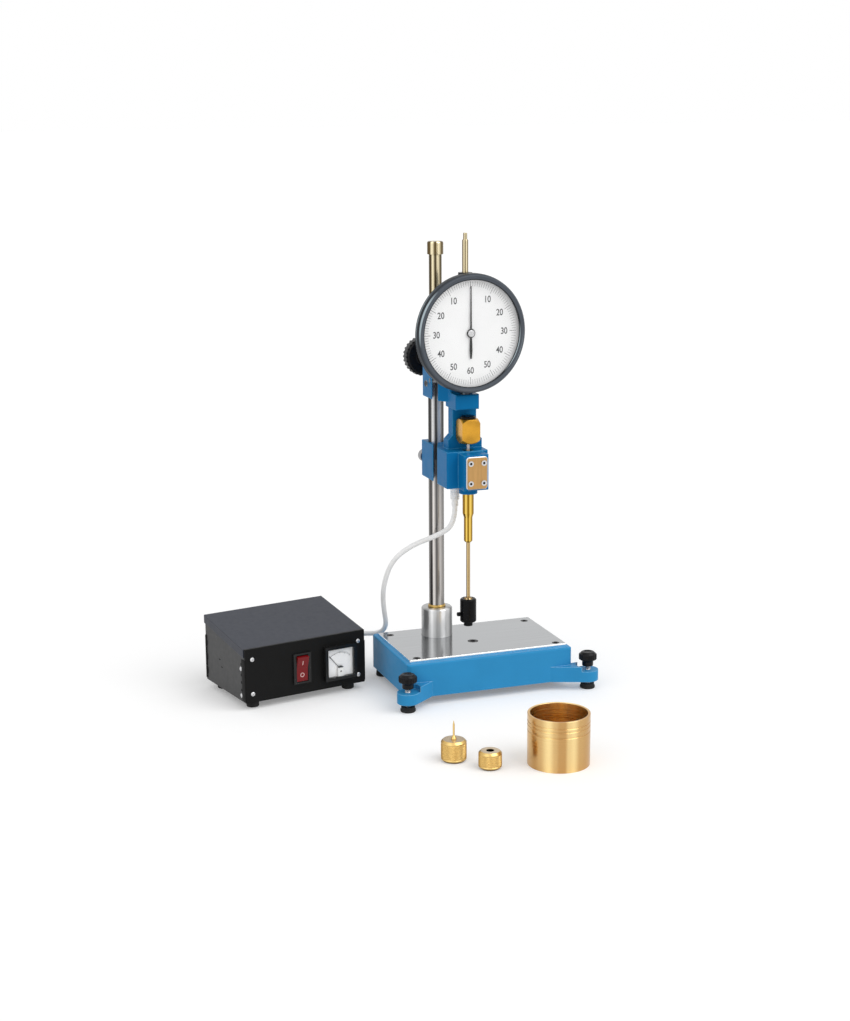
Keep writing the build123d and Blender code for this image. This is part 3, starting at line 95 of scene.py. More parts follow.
# Painted reflections around upright bars, in bands turned to the view: degrees from the side that faces the
# view, and shares of the metal's colour against a dark one
BACK_REFLECTIONS = ((180, 0.3), (-165, 0.12), (-150, 0.5), (-135, 0.95), (145, 0.95), (160, 0.4))
CHROME_REFLECTIONS = (
    *BACK_REFLECTIONS, (-120, 0.5), (-95, 0.4), (-58, 0.16), (-40, 0.02), (-30, 0.4), (-22, 1.0), (-14, 0.6),
    (-1, 0.1), (8, 0.2), (16, 0.46), (30, 0.56), (45, 0.36), (60, 0.2), (95, 0.35), (125, 0.55),
)
BAR_REFLECTIONS = (
    *BACK_REFLECTIONS, (-120, 0.45), (-92, 0.08), (-44, 0.0), (-36, 0.35), (-29, 0.9), (-22, 1.0), (-13, 0.45),
    (-3, 0.0), (5, 0.06), (14, 0.7), (22, 1.0), (31, 0.75), (41, 0.3), (50, 0.05), (92, 0.08), (125, 0.5),
)
COLLAR_REFLECTIONS = (
    (180, 0.6), (-95, 0.45), (-64, 0.42), (-46, 0.28), (-36, 0.34), (-28, 0.66), (-19, 1.0), (-9, 0.68),
    (1, 0.5), (9, 0.58), (20, 1.0), (28, 1.0), (35, 0.68), (46, 0.7), (56, 0.42), (64, 0.18), (95, 0.45),
)
CUP_REFLECTIONS = (
    (180, 0.75), (-169, 0.8), (-158, 1.0), (-146, 0.9), (-130, 0.65), (-110, 0.5), (-80, 0.4), (-66, 0.42),
    (-53, 0.3), (-40, 0.45), (-22, 0.95), (-10, 0.5), (-2, 0.3), (7, 0.3), (14, 0.72), (24, 0.88), (38, 0.4),
    (56, 0.32), (70, 0.3), (95, 0.4), (130, 0.6), (146, 0.9), (160, 1.0), (170, 0.8),
)
WEIGHT_REFLECTIONS = (
    (180, 0.6), (-95, 0.15), (-72, 0.1), (-50, 0.55), (-20, 0.95), (0, 0.75), (20, 0.95), (50, 0.6),
    (72, 0.15), (95, 0.15),
)


def colour_prop(name, colour, text):
    """Colour that a user may change."""
    return FloatVectorProperty(name=name, description=text, subtype="COLOR", size=3, min=0.0, max=1.0,
                               default=colour)


def amount_prop(name, value, text):
    """Length in millimetres, or strength of a light, that a user may change."""
    return FloatProperty(name=name, description=text, default=value, min=0.0)


def count_prop(name, value, text, least):
    """Number of like things that a user may change."""
    return IntProperty(name=name, description=text, default=value, min=least)


class PenetrometerFinishes(bpy.types.PropertyGroup):
    """Colours of the paints, metals and plastics."""
    enamel: colour_prop("Base enamel", (0.034, 0.274, 0.554), "Blue enamel of the base")
    deep: colour_prop("Head enamel", (0.003, 0.153, 0.38), "Blue enamel of the head")
    steel: colour_prop("Steel", (0.40, 0.41, 0.42), "Ground steel of the sample plate")
    chrome: colour_prop("Chrome", (0.97, 0.92, 0.88), "Foot of the column, and the plunger's rod")
    aluminium: colour_prop("Aluminium", (0.97, 0.97, 0.97), "Turned collar")
    brass: colour_prop("Brass", (1.0, 0.76, 0.36), "Cup")
    weight: colour_prop("Weight brass", (0.86, 0.61, 0.23), "Weights and their needle")
    gold: colour_prop("Golden brass", (1.0, 0.69, 0.15), "Plunger guide")
    pale: colour_prop("Pale brass", (1.0, 0.87, 0.58), "Cap, gauge rod and top of the column")
    black: colour_prop("Black", (0.005, 0.005, 0.006), "Knobs, and the lead's gland")
    slate: colour_prop("Slate", (0.085, 0.097, 0.115), "Gauge bezel and case")
    paper: colour_prop("Dial white", (0.98, 0.98, 0.98), "Dial and meter faces")
    sheath: colour_prop("Lead white", (0.98, 0.98, 0.97), "Lead and its relief")
    panel: colour_prop("Panel black", (0.006, 0.006, 0.006), "Front and rear panels of the control box")
    lid: colour_prop("Lid slate", (0.037, 0.041, 0.055), "Lid of the control box")
    case: colour_prop("Case grey", (0.052, 0.052, 0.053), "Side walls of the control box")
    rocker: colour_prop("Rocker red", (0.185, 0.006, 0.008), "Switch rocker")
    bronze: colour_prop("Bronze", (0.53, 0.31, 0.12), "Magnet cover")


class PenetrometerDial(bpy.types.PropertyGroup):
    """Printing of the gauge's dial."""
    ticks: count_prop("Ticks", 120, "Divisions of one turn", 12)
    numbers: count_prop("Numbers", 12, "Numbered divisions of one turn", 2)
    tick_outer: amount_prop("Tick circle", 50.6, "Outer ends of the ticks")
    tick_length: amount_prop("Tick length", 4.8, "Short ticks")
    long_length: amount_prop("Long tick length", 7.2, "Ticks beside the numbers")
    tick_width: amount_prop("Tick width", 0.27, "Width of the short ticks")
    number_radius: amount_prop("Number circle", 37.2, "Middle of the numbers")
    number_height: amount_prop("Number height", 6.5, "Height of the digits")


class PenetrometerGrips(bpy.types.PropertyGroup):
    """Ribs and knurls of what the fingers turn."""
    lock_ribs: count_prop("Lock ribs", 28, "Ribs of the lock knob", 6)
    level_ribs: count_prop("Level ribs", 22, "Ribs of a levelling knob", 6)
    knurl_pitch: amount_prop("Knurl pitch", 1.35, "Spacing of the knurl's points")
    knurl_depth: amount_prop("Knurl depth", 0.42, "Height of the knurl's points")


class PenetrometerStage(bpy.types.PropertyGroup):
    """Light and floor."""
    ambient: amount_prop("Ambient", 0.62, "Soft light from all round")
    key: amount_prop("Key", 1.25, "Soft light from the front right")
    fill: amount_prop("Fill", 0.45, "Soft light from the front left")
    glow: amount_prop("Floor glow", 0.22, "What makes the lit floor white")


def at(x, y, z=0.0):
    """Shift in millimetres."""
    return Matrix.Translation(Vector((x, y, z)) * MM)


def turn(degrees, axis):
    """Turn about an axis."""
    return Matrix.Rotation(math.radians(degrees), 4, axis)


def box_mm(node):
    """Lowest and highest corner of a node, in millimetres."""
    return [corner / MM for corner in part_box(node)]


def round_box(node):
    """Axis of an upright round node as a place, and its radius, lowest and highest z in millimetres."""
    low, high = box_mm(node)
    middle = (low + high) / 2
    return at(middle.x, middle.y), (high.x - low.x) / 2, low.z, high.z


def dial_place(distance):
    """Frame on the gauge: X right, Y up, Z out of the dial, a distance in front of the rod."""
    low, high = box_mm("bezel")
    centre = round_box("dial_rod")[0] @ at(0.0, 0.0, (low.z + high.z) / 2)
    return centre @ turn(DIAL_TURN, "Z") @ turn(90, "X") @ at(0.0, 0.0, distance)


def box_place(x, y, z):
    """Frame of the control box at a point of it, in millimetres, axes along the box."""
    return at(*BOX_PLACE) @ turn(BOX_TURN, "Z") @ at(x, y, z)


def panel_place(x, z, proud):
    """Frame on the box's front panel: X right, Y up, Z out of the panel."""
    return box_place(x, -BOX_D / 2 - proud, z) @ turn(90, "X")


def give(tree, socket, value):
    """Lead a socket to a node's input, or set the input's constant."""
    if isinstance(value, bpy.types.NodeSocket):
        tree.links.new(value, socket)
    elif socket.type == "RGBA":
        socket.default_value = (*value, 1.0)
    else:
        socket.default_value = value


def add_node(tree, kind, *values, **named):
    """New node. Names in lower case are its settings, others its inputs; values go to inputs in order."""
    node = tree.nodes.new(kind)
    for name, value in named.items():
        if name.islower():
            setattr(node, name, value)
        else:
            give(tree, node.inputs[name], value)
    for socket, value in zip(node.inputs, values):
        give(tree, socket, value)
    return node


FINISH = {}


class Finish:
    """Material of one finish, drawn on the piece's own Object coordinates."""

    def __init__(self, name, colour, roughness, metallic=0.0, specular=0.5):
        FINISH[name] = material = bpy.data.materials.new(name)
        material.use_nodes = True
        self.tree = material.node_tree
        self.shader = self.tree.nodes["Principled BSDF"]
        self.colour = tuple(colour)
        self.take("Base Color", self.colour)
        self.take("Roughness", roughness)
        self.take("Metallic", metallic)
        self.take("Specular IOR Level", specular)
        self.place = self.add("ShaderNodeTexCoord")["Object"]
        self.normal = None

    def add(self, kind, *values, **named):
        """Outputs of a new node."""
        return add_node(self.tree, kind, *values, **named).outputs

    def take(self, name, value):
        """Constant or socket that the shader uses from here on."""
        give(self.tree, self.shader.inputs[name], value)
        return value

    def noise(self, scale, stretch=(1.0, 1.0, 1.0), detail=3.0):
        """Noise over the piece, stretched along its axes."""
        spot = self.add("ShaderNodeMapping", Vector=self.place, Scale=stretch)[0]
        return self.add("ShaderNodeTexNoise", Vector=spot, Scale=scale, Detail=detail)["Fac"]

    def rings(self):
        """Faint rings that turning leaves."""
        return self.noise(1.0, (2.0, 2.0, 2200.0), 2.0)

    def ranged(self, value, low, high, start=0.3, end=0.7):
        """Value mapped from one range to another."""
        return self.add("ShaderNodeMapRange", value, start, end, low, high)["Result"]

    def between(self, factor, first, second):
        """Base colour mixed from two colours, each a constant or a socket."""
        mix = add_node(self.tree, "ShaderNodeMix", factor, data_type="RGBA")
        # The colour inputs of this node come after its number and vector ones
        give(self.tree, mix.inputs[6], first)
        give(self.tree, mix.inputs[7], second)
        return self.take("Base Color", mix.outputs[2])

    def tint(self, value, dark, light):
        """Colour between a darker and a lighter share of the base colour."""
        first = tuple(dark * c for c in self.colour)
        second = tuple(min(1.0, light * c) for c in self.colour)
        return self.between(self.ranged(value, 0.0, 1.0), first, second)

    def gloss(self, value, low, high):
        """Roughness that varies over the piece."""
        self.take("Roughness", self.ranged(value, low, high))

    def cosine(self, first, second):
        """Cosine between two directions."""
        return self.add("ShaderNodeVectorMath", first, second, operation="DOT_PRODUCT")["Value"]

    def surface(self, normal):
        """Direction of the surface, Normal or True Normal."""
        return self.add("ShaderNodeNewGeometry")[normal]

    def facing(self, direction, low, high):
        """1 where the surface faces a direction, 0 where it turns away, between two cosines."""
        return self.ranged(self.cosine(self.surface("Normal"), direction), 0.0, 1.0, low, high)

    def spots(self, place, scale=(1.0, 1.0, 1.0)):
        """Points of the piece in a frame."""
        return self.add("ShaderNodeMapping", vector_type="TEXTURE", Vector=self.place, Scale=scale,
                        Location=place.translation, Rotation=place.to_euler())[0]

    def reach(self, place):
        """Distance from the Z axis of a frame."""
        flat = self.spots(place, (1.0, 1.0, 1e6))
        return self.add("ShaderNodeVectorMath", flat, operation="LENGTH")["Value"]

    def streak(self, shade, node, stops, dark):
        """Painted reflections in bands along an upright bar, turned to the view, between a dark colour and
        the given tone.
        """
        # Painted reflections: the bands' angles count from the side that faces the view.
        front = math.radians(90.0 - VIEW_AZIMUTH)
        centre = Matrix.Rotation(front, 3, "Z") @ round_box(node)[0].translation
        spot = self.add("ShaderNodeMapping", Vector=self.place, Location=-centre,
                        Rotation=(0.0, 0.0, front))[0]
        around = self.add("ShaderNodeTexGradient", spot, gradient_type="RADIAL")["Fac"]
        ramp = add_node(self.tree, "ShaderNodeValToRGB", around)
        ramp.color_ramp.interpolation = "EASE"
        elements = ramp.color_ramp.elements
        # The first stop colours both ends of the ramp, which meet behind the bar
        behind = stops[0][1]
        for end in elements:
            end.color = (behind, behind, behind, 1.0)
        for angle, share in stops[1:]:
            elements.new(angle / 360.0 + 0.5).color = (share, share, share, 1.0)
        return self.between(ramp.outputs["Color"], dark, shade)

    def soft_edges(self, radius):
        """Rounded look of sharp edges, in metres."""
        self.normal = self.take("Normal", self.add("ShaderNodeBevel", radius, samples=6)["Normal"])
        return self.normal

    def bump(self, value, strength, distance):
        """Relief from a pattern, distance in metres."""
        below = {} if self.normal is None else {"Normal": self.normal}
        node = self.add("ShaderNodeBump", Strength=strength, Distance=distance, Height=value, **below)
        self.normal = self.take("Normal", node["Normal"])


def enamel_finish(name, colour, painted_edge_highlight, round_off):
    """Blue enamel over a casting, with a painted highlight that makes it paler on its rounded edges."""
    paint = Finish(name, colour, 0.34, specular=0.06)
    edge = paint.cosine(paint.soft_edges(round_off), paint.surface("True Normal"))
    base = paint.tint(paint.noise(30.0), 0.96, 1.04)
    # Painted highlight: where the rounded edge bends away from the face, the colour goes to the pale
    # highlight colour.
    paint.between(paint.ranged(edge, 0.85, 0.0, 0.80, 0.97), base, painted_edge_highlight)
    paint.gloss(paint.noise(120.0), 0.28, 0.38)
    paint.bump(paint.noise(420.0), 0.05, 0.15 * MM)


def plate_finish(colour):
    """Ground steel with long fine scratches, and a painted white reflection on its edges and upright sides.
    """
    metal = Finish("ground_steel", colour, 0.2, 1.0)
    edge = metal.cosine(metal.soft_edges(0.9 * MM), metal.surface("True Normal"))
    rim = metal.ranged(edge, 1.0, 0.0, 0.75, 0.995)
    upward = metal.cosine(metal.surface("True Normal"), (0.0, 0.0, 1.0))
    side = metal.ranged(upward, 1.0, 0.0, 0.2, 0.8)
    # Painted reflection: the edges and the upright sides go white.
    bright = metal.add("ShaderNodeMath", side, rim, operation="MAXIMUM")[0]
    base = metal.tint(metal.noise(1.0, (6.0, 700.0, 700.0), 2.0), 0.95, 1.04)
    metal.between(bright, base, (1.0, 1.0, 1.0))
    metal.gloss(metal.noise(1.0, (10.0, 900.0, 900.0)), 0.09, 0.15)


def drawn_finish(name, colour, rough_low, rough_high, bump=0.02):
    """Turned or drawn metal with faint rings."""
    metal = Finish(name, colour, rough_low, 1.0)
    rings = metal.rings()
    metal.tint(rings, 0.97, 1.03)
    metal.gloss(rings, rough_low, rough_high)
    metal.bump(rings, bump, 0.03 * MM)


def bar_finish(name, colour, dark, node, reflection_stops, metallic, rough=0.16):
    """Turned upright metal with painted reflections in bands along it."""
    metal = Finish(name, colour, rough, metallic, 0.15)
    rings = metal.rings()
    # Painted reflections: bands between the dark colour and the metal's tone.
    metal.streak(metal.tint(rings, 0.985, 1.015), node, reflection_stops, dark)
    metal.gloss(rings, rough, 1.4 * rough)


def weight_finish(name, colour, node, bore):
    """Brass of a weight with painted reflections in bands, a painted grey reflection on its top, and painted
    shade on its lower bevel and in its bore.
    """
    metal = Finish(name, colour, 0.28, 1.0)
    rings = metal.rings()
    # Painted reflections in bands around the weight.
    shade = metal.streak(metal.tint(rings, 0.97, 1.03), node, WEIGHT_REFLECTIONS, (0.44, 0.25, 0.06))
    # Painted reflection: faces turned upwards go grey.
    shade = metal.between(metal.facing((0.0, 0.0, 1.0), 0.86, 0.98), shade, (0.60, 0.48, 0.33))
    # Painted shade: faces turned downwards, the lower bevel, go dark.
    shade = metal.between(metal.facing((0.0, 0.0, -1.0), 0.30, 0.60), shade, (0.22, 0.13, 0.03))
    # Painted shade: inside the bore's radius the colour goes near black.
    reach = metal.reach(round_box(node)[0])
    wall = metal.ranged(reach, 0.0, 1.0, (bore + 0.02) * MM, (bore + 0.2) * MM)
    metal.between(wall, (0.02, 0.012, 0.004), shade)
    metal.gloss(rings, 0.26, 0.36)


def plunger_finish():
    """Golden brass of a squared piece, unevenly polished, with rounded edges."""
    metal = Finish("plunger_brass", (0.60, 0.30, 0.030), 0.24, 0.8)
    metal.soft_edges(1.6 * MM)
    metal.tint(metal.noise(70.0, detail=1.0), 0.78, 1.2)
    metal.gloss(metal.noise(60.0), 0.18, 0.30)


def brushed_finish(name, colour):
    """Brushed flat metal, scratched along its height."""
    metal = Finish(name, colour, 0.35, 1.0)
    lines = metal.noise(1.0, (1500.0, 1500.0, 30.0))
    metal.tint(lines, 0.88, 1.10)
    metal.gloss(lines, 0.30, 0.44)
    metal.bump(lines, 0.08, 0.04 * MM)


def moulded_finish(name, colour, low, high, grain=700.0, relief=0.10, specular=0.5, edge=0.0, even=0.06):
    """Plastic, rubber or textured paint with a fine grain, its roughness from low to high."""
    paint = Finish(name, colour, low, specular=specular)
    if edge > 0.0:
        paint.soft_edges(edge)
    paint.tint(paint.noise(60.0), 1.0 - even, 1.0 + even)
    paint.gloss(paint.noise(200.0), low, high)
    paint.bump(paint.noise(grain), relief, 0.12 * MM)


def bezel_finish(colour):
    """Slate paint with painted shade, dark on the wall that turns from the dial's front and on the inner
    lip, and a painted highlight, bright on the rolled edge's lit side.
    """
    paint = Finish("slate_bezel", colour, 0.34, specular=0.12)
    place = dial_place(0.0)
    right, up, out = place.to_3x3().col
    ring = paint.tint(paint.noise(60.0), 0.95, 1.05)
    # Painted shade: inside 53 mm, the inner lip goes near black.
    lip = paint.ranged(paint.reach(place), 0.0, 1.0, 53.0 * MM, 53.8 * MM)
    ring = paint.between(lip, (0.022, 0.024, 0.028), ring)
    # Painted shade: faces that turn away from the dial's front go dark.
    ring = paint.between(paint.facing(out, 0.45, 0.8), (0.018, 0.023, 0.029), ring)
    # Painted highlight: the rolled edge's faces towards the front, left and up go pale.
    lit = (out - right + 0.35 * up).normalized()
    paint.between(paint.facing(lit, 0.93, 0.985), ring, (0.42, 0.50, 0.54))
    paint.gloss(paint.noise(200.0), 0.30, 0.40)


def meter_finish():
    """Glossy black meter frame whose pointer hood is white below its black crown."""
    black = (0.010, 0.010, 0.010)
    paint = Finish("meter_frame", black, 0.18, specular=0.3)
    spot = paint.add("ShaderNodeSeparateXYZ", paint.spots(box_place(METER_X, -BOX_D / 2, PANEL_MID)))

    def inside(half_x, low, high):
        wide = paint.add("ShaderNodeMath", spot["X"], 0.0, half_x * MM, operation="COMPARE")[0]
        middle = (low + high) / 2 * MM
        tall = paint.add("ShaderNodeMath", spot["Z"], middle, (high - low) / 2 * MM, operation="COMPARE")[0]
        return paint.add("ShaderNodeMath", wide, tall, operation="MULTIPLY")[0]

    apron = paint.between(inside(3.6, -14.7, -5.6), black, (0.90, 0.90, 0.88))
    paint.between(inside(0.8, -10.4, -8.8), apron, (0.05, 0.05, 0.05))
    paint.gloss(paint.noise(200.0), 0.14, 0.22)


def printed_finish(name, colour):
    """Matt white printed plate."""
    paint = Finish(name, colour, 0.55, specular=0.25)
    paint.tint(paint.noise(25.0), 0.975, 1.02)
    paint.gloss(paint.noise(90.0), 0.48, 0.62)


def glass_finish():
    """Clear cover glass that lets the face's light through."""
    glass = Finish("cover_glass", (0.96, 0.98, 0.98), 0.04)
    glass.take("Alpha", 0.03)
    glass.gloss(glass.noise(30.0), 0.02, 0.06)


def make_finishes(use):
    """Every finish."""
    # Dark colour of the painted reflections on the chrome.
    dark = (0.02, 0.02, 0.02)
    # Painted highlights: the third value of each enamel is the pale colour of its rounded edges.
    enamel_finish("blue_enamel", use.enamel, (0.34, 0.66, 0.90), 1.1 * MM)
    enamel_finish("head_enamel", use.deep, (0.09, 0.40, 0.68), 1.8 * MM)
    plate_finish(use.steel)
    # Painted reflections: each bar finish goes in bands towards its dark colour, the third value.
    bar_finish("polished_chrome", use.chrome, dark, "column", CHROME_REFLECTIONS, 0.5, 0.1)
    bar_finish("bar_chrome", (0.90, 0.89, 0.88), dark, "column", BAR_REFLECTIONS, 0.4, 0.2)
    bar_finish("gilt_top", use.pale, (0.05, 0.03, 0.006), "column", BAR_REFLECTIONS, 0.7)
    bar_finish("cap_brass", use.pale, (0.09, 0.055, 0.013), "column", BAR_REFLECTIONS, 0.9)
    bar_finish("turned_aluminium", use.aluminium, (0.03, 0.03, 0.03), "column", COLLAR_REFLECTIONS, 0.5)
    bar_finish("turned_brass", use.brass, (0.36, 0.13, 0.016), "sample_cup", CUP_REFLECTIONS, 1.0, 0.2)
    bar_finish("golden_brass", use.gold, (0.24, 0.12, 0.004), "plunger_guide", BAR_REFLECTIONS, 1.0)
    bar_finish("pale_brass", (0.84, 0.64, 0.34), (0.22, 0.13, 0.04), "plunger_guide", BAR_REFLECTIONS, 0.9)
    bar_finish("rod_brass", use.pale, (0.15, 0.10, 0.036), "dial_rod", BAR_REFLECTIONS, 0.9)
    weight_finish("large_weight_brass", use.weight, "large_weight", 0.0)
    weight_finish("small_weight_brass", use.weight, "small_weight", 3.6)
    plunger_finish()
    drawn_finish("bush_brass", (0.42, 0.28, 0.09), 0.25, 0.35)
    drawn_finish("turned_steel", (0.62, 0.62, 0.63), 0.2, 0.34)
    drawn_finish("dull_steel", (0.30, 0.30, 0.31), 0.3, 0.45)
    drawn_finish("coil_copper", (0.55, 0.27, 0.13), 0.3, 0.4, 0.3)
    brushed_finish("brushed_bronze", use.bronze)
    moulded_finish("black_moulding", use.black, 0.24, 0.36, 500.0, 0.04, 0.18)
    moulded_finish("black_rubber", (0.014, 0.014, 0.014), 0.6, 0.8, 900.0, 0.2, 0.3)
    moulded_finish("blackened_steel", (0.003, 0.003, 0.0035), 0.22, 0.34, 500.0, 0.02, 0.12)
    moulded_finish("printing_ink", (0.05, 0.05, 0.055), 0.55, 0.7, 400.0, 0.0, 0.2)
    moulded_finish("pale_ink", (0.20, 0.20, 0.21), 0.55, 0.7, 400.0, 0.0, 0.2)
    moulded_finish("white_sheath", use.sheath, 0.36, 0.5, 500.0, 0.04, 0.4)
    moulded_finish("panel_black", use.panel, 0.42, 0.56, 900.0, 0.06, 0.12, 0.5 * MM)
    moulded_finish("slate_lid", use.lid, 0.44, 0.50, 1100.0, 0.02, 0.25, 0.8 * MM, 0.02)
    moulded_finish("case_grey", use.case, 0.48, 0.56, 900.0, 0.03, 0.3, 0.5 * MM, 0.03)
    moulded_finish("gloss_black", (0.010, 0.010, 0.010), 0.14, 0.22, 300.0, 0.02, 0.3)
    moulded_finish("jet_black", (0.005, 0.005, 0.005), 0.5, 0.6, 400.0, 0.02, 0.12)
    moulded_finish("red_rocker", use.rocker, 0.16, 0.24, 300.0, 0.02, 0.25)
    moulded_finish("rocker_mark", (0.80, 0.55, 0.52), 0.4, 0.5, 400.0, 0.0)
    moulded_finish("board_laminate", (0.03, 0.17, 0.08), 0.35, 0.5)
    moulded_finish("core_iron", (0.16, 0.16, 0.17), 0.45, 0.6)
    bezel_finish(use.slate)
    meter_finish()
    printed_finish("printed_dial", use.paper)
    glass_finish()


def linked(name, data):
    """New object in the scene."""
    obj = bpy.data.objects.new(name, data)
    bpy.context.scene.collection.objects.link(obj)
    return obj


def settled(obj):
    """Plain mesh of an object with its modifiers worked out; the object is then removed."""
    bpy.context.view_layer.update()
    graph = bpy.context.evaluated_depsgraph_get()
    mesh = bpy.data.meshes.new_from_object(obj.evaluated_get(graph), depsgraph=graph)
    bpy.data.objects.remove(obj)
    return mesh


def shaded(mesh):
    """Smooth faces with sharp corners kept."""
    mesh.shade_smooth()
    mesh.set_sharp_from_angle(angle=SHARP_ANGLE)
    return mesh


def from_bmesh(name, bm):
    """Shaded mesh of a bmesh."""
    mesh = bpy.data.meshes.new(name)
    bm.to_mesh(mesh)
    bm.free()
    return shaded(mesh)


def outward(name, bm):
    """Mesh of a bmesh, its faces turned outwards."""
    bmesh.ops.recalc_face_normals(bm, faces=bm.faces)
    return from_bmesh(name, bm)


def joined(name, parts):
    """One mesh from (mesh, place) pairs."""
    bm = bmesh.new()
    for mesh, place in parts:
        copy = mesh.copy()
        copy.transform(place)
        bm.from_mesh(copy)
        bpy.data.meshes.remove(copy)
    return from_bmesh(name, bm)


def soften(points, radius, closed):
    """Corners of a profile rounded off."""
    softened = []
    for i, point in enumerate(points):
        here = Vector(point)
        back = Vector(points[i - 1]) - here
        ahead = Vector(points[(i + 1) % len(points)]) - here
        cut = min(radius, 0.45 * back.length, 0.45 * ahead.length)
        end_point = not closed and i in (0, len(points) - 1)
        if end_point or cut <= 0.0 or back.angle(ahead) > STRAIGHT_ANGLE:
            softened.append(point)
            continue
        start = here + back.normalized() * cut
        end = here + ahead.normalized() * cut
        for t in (0.0, 0.25, 0.5, 0.75, 1.0):
            softened.append(tuple(start.lerp(here, t).lerp(here.lerp(end, t), t)))
    return softened


def turned_mesh(name, profile, segments=96, softness=0.3):
    """Solid turned about Z from (radius, height) points in millimetres, axis to axis or one closed loop."""
    closed = profile[0][0] > AXIS and profile[-1][0] > AXIS
    bm = bmesh.new()
    rings = []
    for r, z in soften(profile, softness, closed):
        angles = [FULL_TURN * i / segments for i in range(segments if r > AXIS else 1)]
        rings.append([bm.verts.new(Vector((r * math.cos(a), r * math.sin(a), z)) * MM) for a in angles])
    pairs = list(zip(rings, rings[1:]))
    if closed:
        pairs.append((rings[-1], rings[0]))
    for a, b in pairs:
        for i in range(segments):
            j = (i + 1) % segments
            corners = [a[i % len(a)], a[j % len(a)], b[j % len(b)], b[i % len(b)]]
            bm.faces.new(list(dict.fromkeys(corners)))
    return outward(name, bm)


def block_mesh(name, size, bevel, segments):
    """Box of a size in millimetres about the origin, with rounded edges."""
    bm = bmesh.new()
    bmesh.ops.create_cube(bm, size=1.0)
    bmesh.ops.scale(bm, vec=Vector(size) * MM, verts=bm.verts)
    bmesh.ops.bevel(bm, geom=list(bm.edges), offset=bevel * MM, segments=segments, profile=0.5,
                    affect="EDGES")
    return outward(name, bm)


def rounded_plate_mesh(name, width, height, thickness, corner, chamfer):
    """Plate in the XY plane with round corners and a chamfered front; the chamfer and sides are slot 1."""
    outline = []
    for sx, sy, first in ((1, 1, 0), (-1, 1, 90), (-1, -1, 180), (1, -1, 270)):
        centre = Vector((sx * (width / 2 - corner), sy * (height / 2 - corner), 0.0))
        for step in range(9):
            angle = math.radians(first + step * 90 / 8)
            outline.append((centre, Vector((math.cos(angle), math.sin(angle), 0.0))))
    bm = bmesh.new()
    rings = []
    for z, inset in ((0.0, 0.0), (thickness - chamfer, 0.0), (thickness, chamfer)):
        level = Vector((0.0, 0.0, z))
        rings.append([bm.verts.new((centre + out * (corner - inset) + level) * MM)
                      for centre, out in outline])
    for a, b in zip(rings, rings[1:]):
        for i in range(len(outline)):
            j = (i + 1) % len(outline)
            bm.faces.new((a[i], a[j], b[j], b[i])).material_index = 1
    bm.faces.new(rings[0])
    bm.faces.new(rings[-1])
    return outward(name, bm)


RING_TREE = "Copies around an axis"
GRID_TREE = "Copies in a grid"


class CopyTree:
    """Geometry Nodes that set copies of an object on points and join them to a core."""

    def __init__(self, name, counts, sizes):
        self.tree = bpy.data.node_groups.new(name, "GeometryNodeTree")
        kinds = {"Core": "Geometry", "Copy": "Object", "Material": "Material"}
        kinds.update(dict.fromkeys(counts, "Int"))
        kinds.update(dict.fromkeys(sizes, "Float"))
        new_socket = self.tree.interface.new_socket
        for socket, kind in kinds.items():
            new_socket(name=socket, in_out="INPUT", socket_type="NodeSocket" + kind)
        new_socket(name="Geometry", in_out="OUTPUT", socket_type="NodeSocketGeometry")
        self.given = self.tree.nodes.new("NodeGroupInput").outputs

    def add(self, kind, *values, **named):
        """First output of a new node."""
        return add_node(self.tree, kind, *values, **named).outputs[0]

    def sum_of(self, operation, *values):
        """Result of a sum."""
        return self.add("ShaderNodeMath", *values, operation=operation)

    def end(self, points, angle):
        """The whole tree, with copies on the points, turned about Z by an angle, as one painted mesh."""
        rotation = self.add("FunctionNodeEulerToRotation", self.add("ShaderNodeCombineXYZ", 0.0, 0.0, angle))
        shape = add_node(self.tree, "GeometryNodeObjectInfo", self.given["Copy"]).outputs["Geometry"]
        copies = self.add("GeometryNodeInstanceOnPoints", points, Instance=shape, Rotation=rotation)
        join = add_node(self.tree, "GeometryNodeJoinGeometry", self.given["Core"])
        self.tree.links.new(copies, join.inputs[0])
        real = self.add("GeometryNodeRealizeInstances", join.outputs[0])
        add_node(self.tree, "NodeGroupOutput",
                 self.add("GeometryNodeSetMaterial", real, Material=self.given["Material"]))
        return self.tree


def ring_tree():
    """Tree of copies around the Z axis, in staggered rows."""
    ring = CopyTree(RING_TREE, ("Count", "Rows"),
                    ("Radius", "Row Pitch", "Base Height", "Start", "Step", "Stagger"))
    given = ring.given
    index = ring.add("GeometryNodeInputIndex")
    row = ring.sum_of("FLOOR", ring.sum_of("DIVIDE", index, given["Count"]))
    column = ring.sum_of("SUBTRACT", index, ring.sum_of("MULTIPLY", row, given["Count"]))
    shift = ring.sum_of("MULTIPLY", ring.sum_of("MODULO", row, 2.0), given["Stagger"])
    angle = ring.sum_of("MULTIPLY_ADD", ring.sum_of("ADD", column, shift), given["Step"], given["Start"])
    x = ring.sum_of("MULTIPLY", ring.sum_of("COSINE", angle), given["Radius"])
    y = ring.sum_of("MULTIPLY", ring.sum_of("SINE", angle), given["Radius"])
    z = ring.sum_of("MULTIPLY_ADD", row, given["Row Pitch"], given["Base Height"])
    count = ring.sum_of("MULTIPLY", given["Count"], given["Rows"])
    points = ring.add("GeometryNodePoints", count, ring.add("ShaderNodeCombineXYZ", x, y, z))
    return ring.end(points, angle)


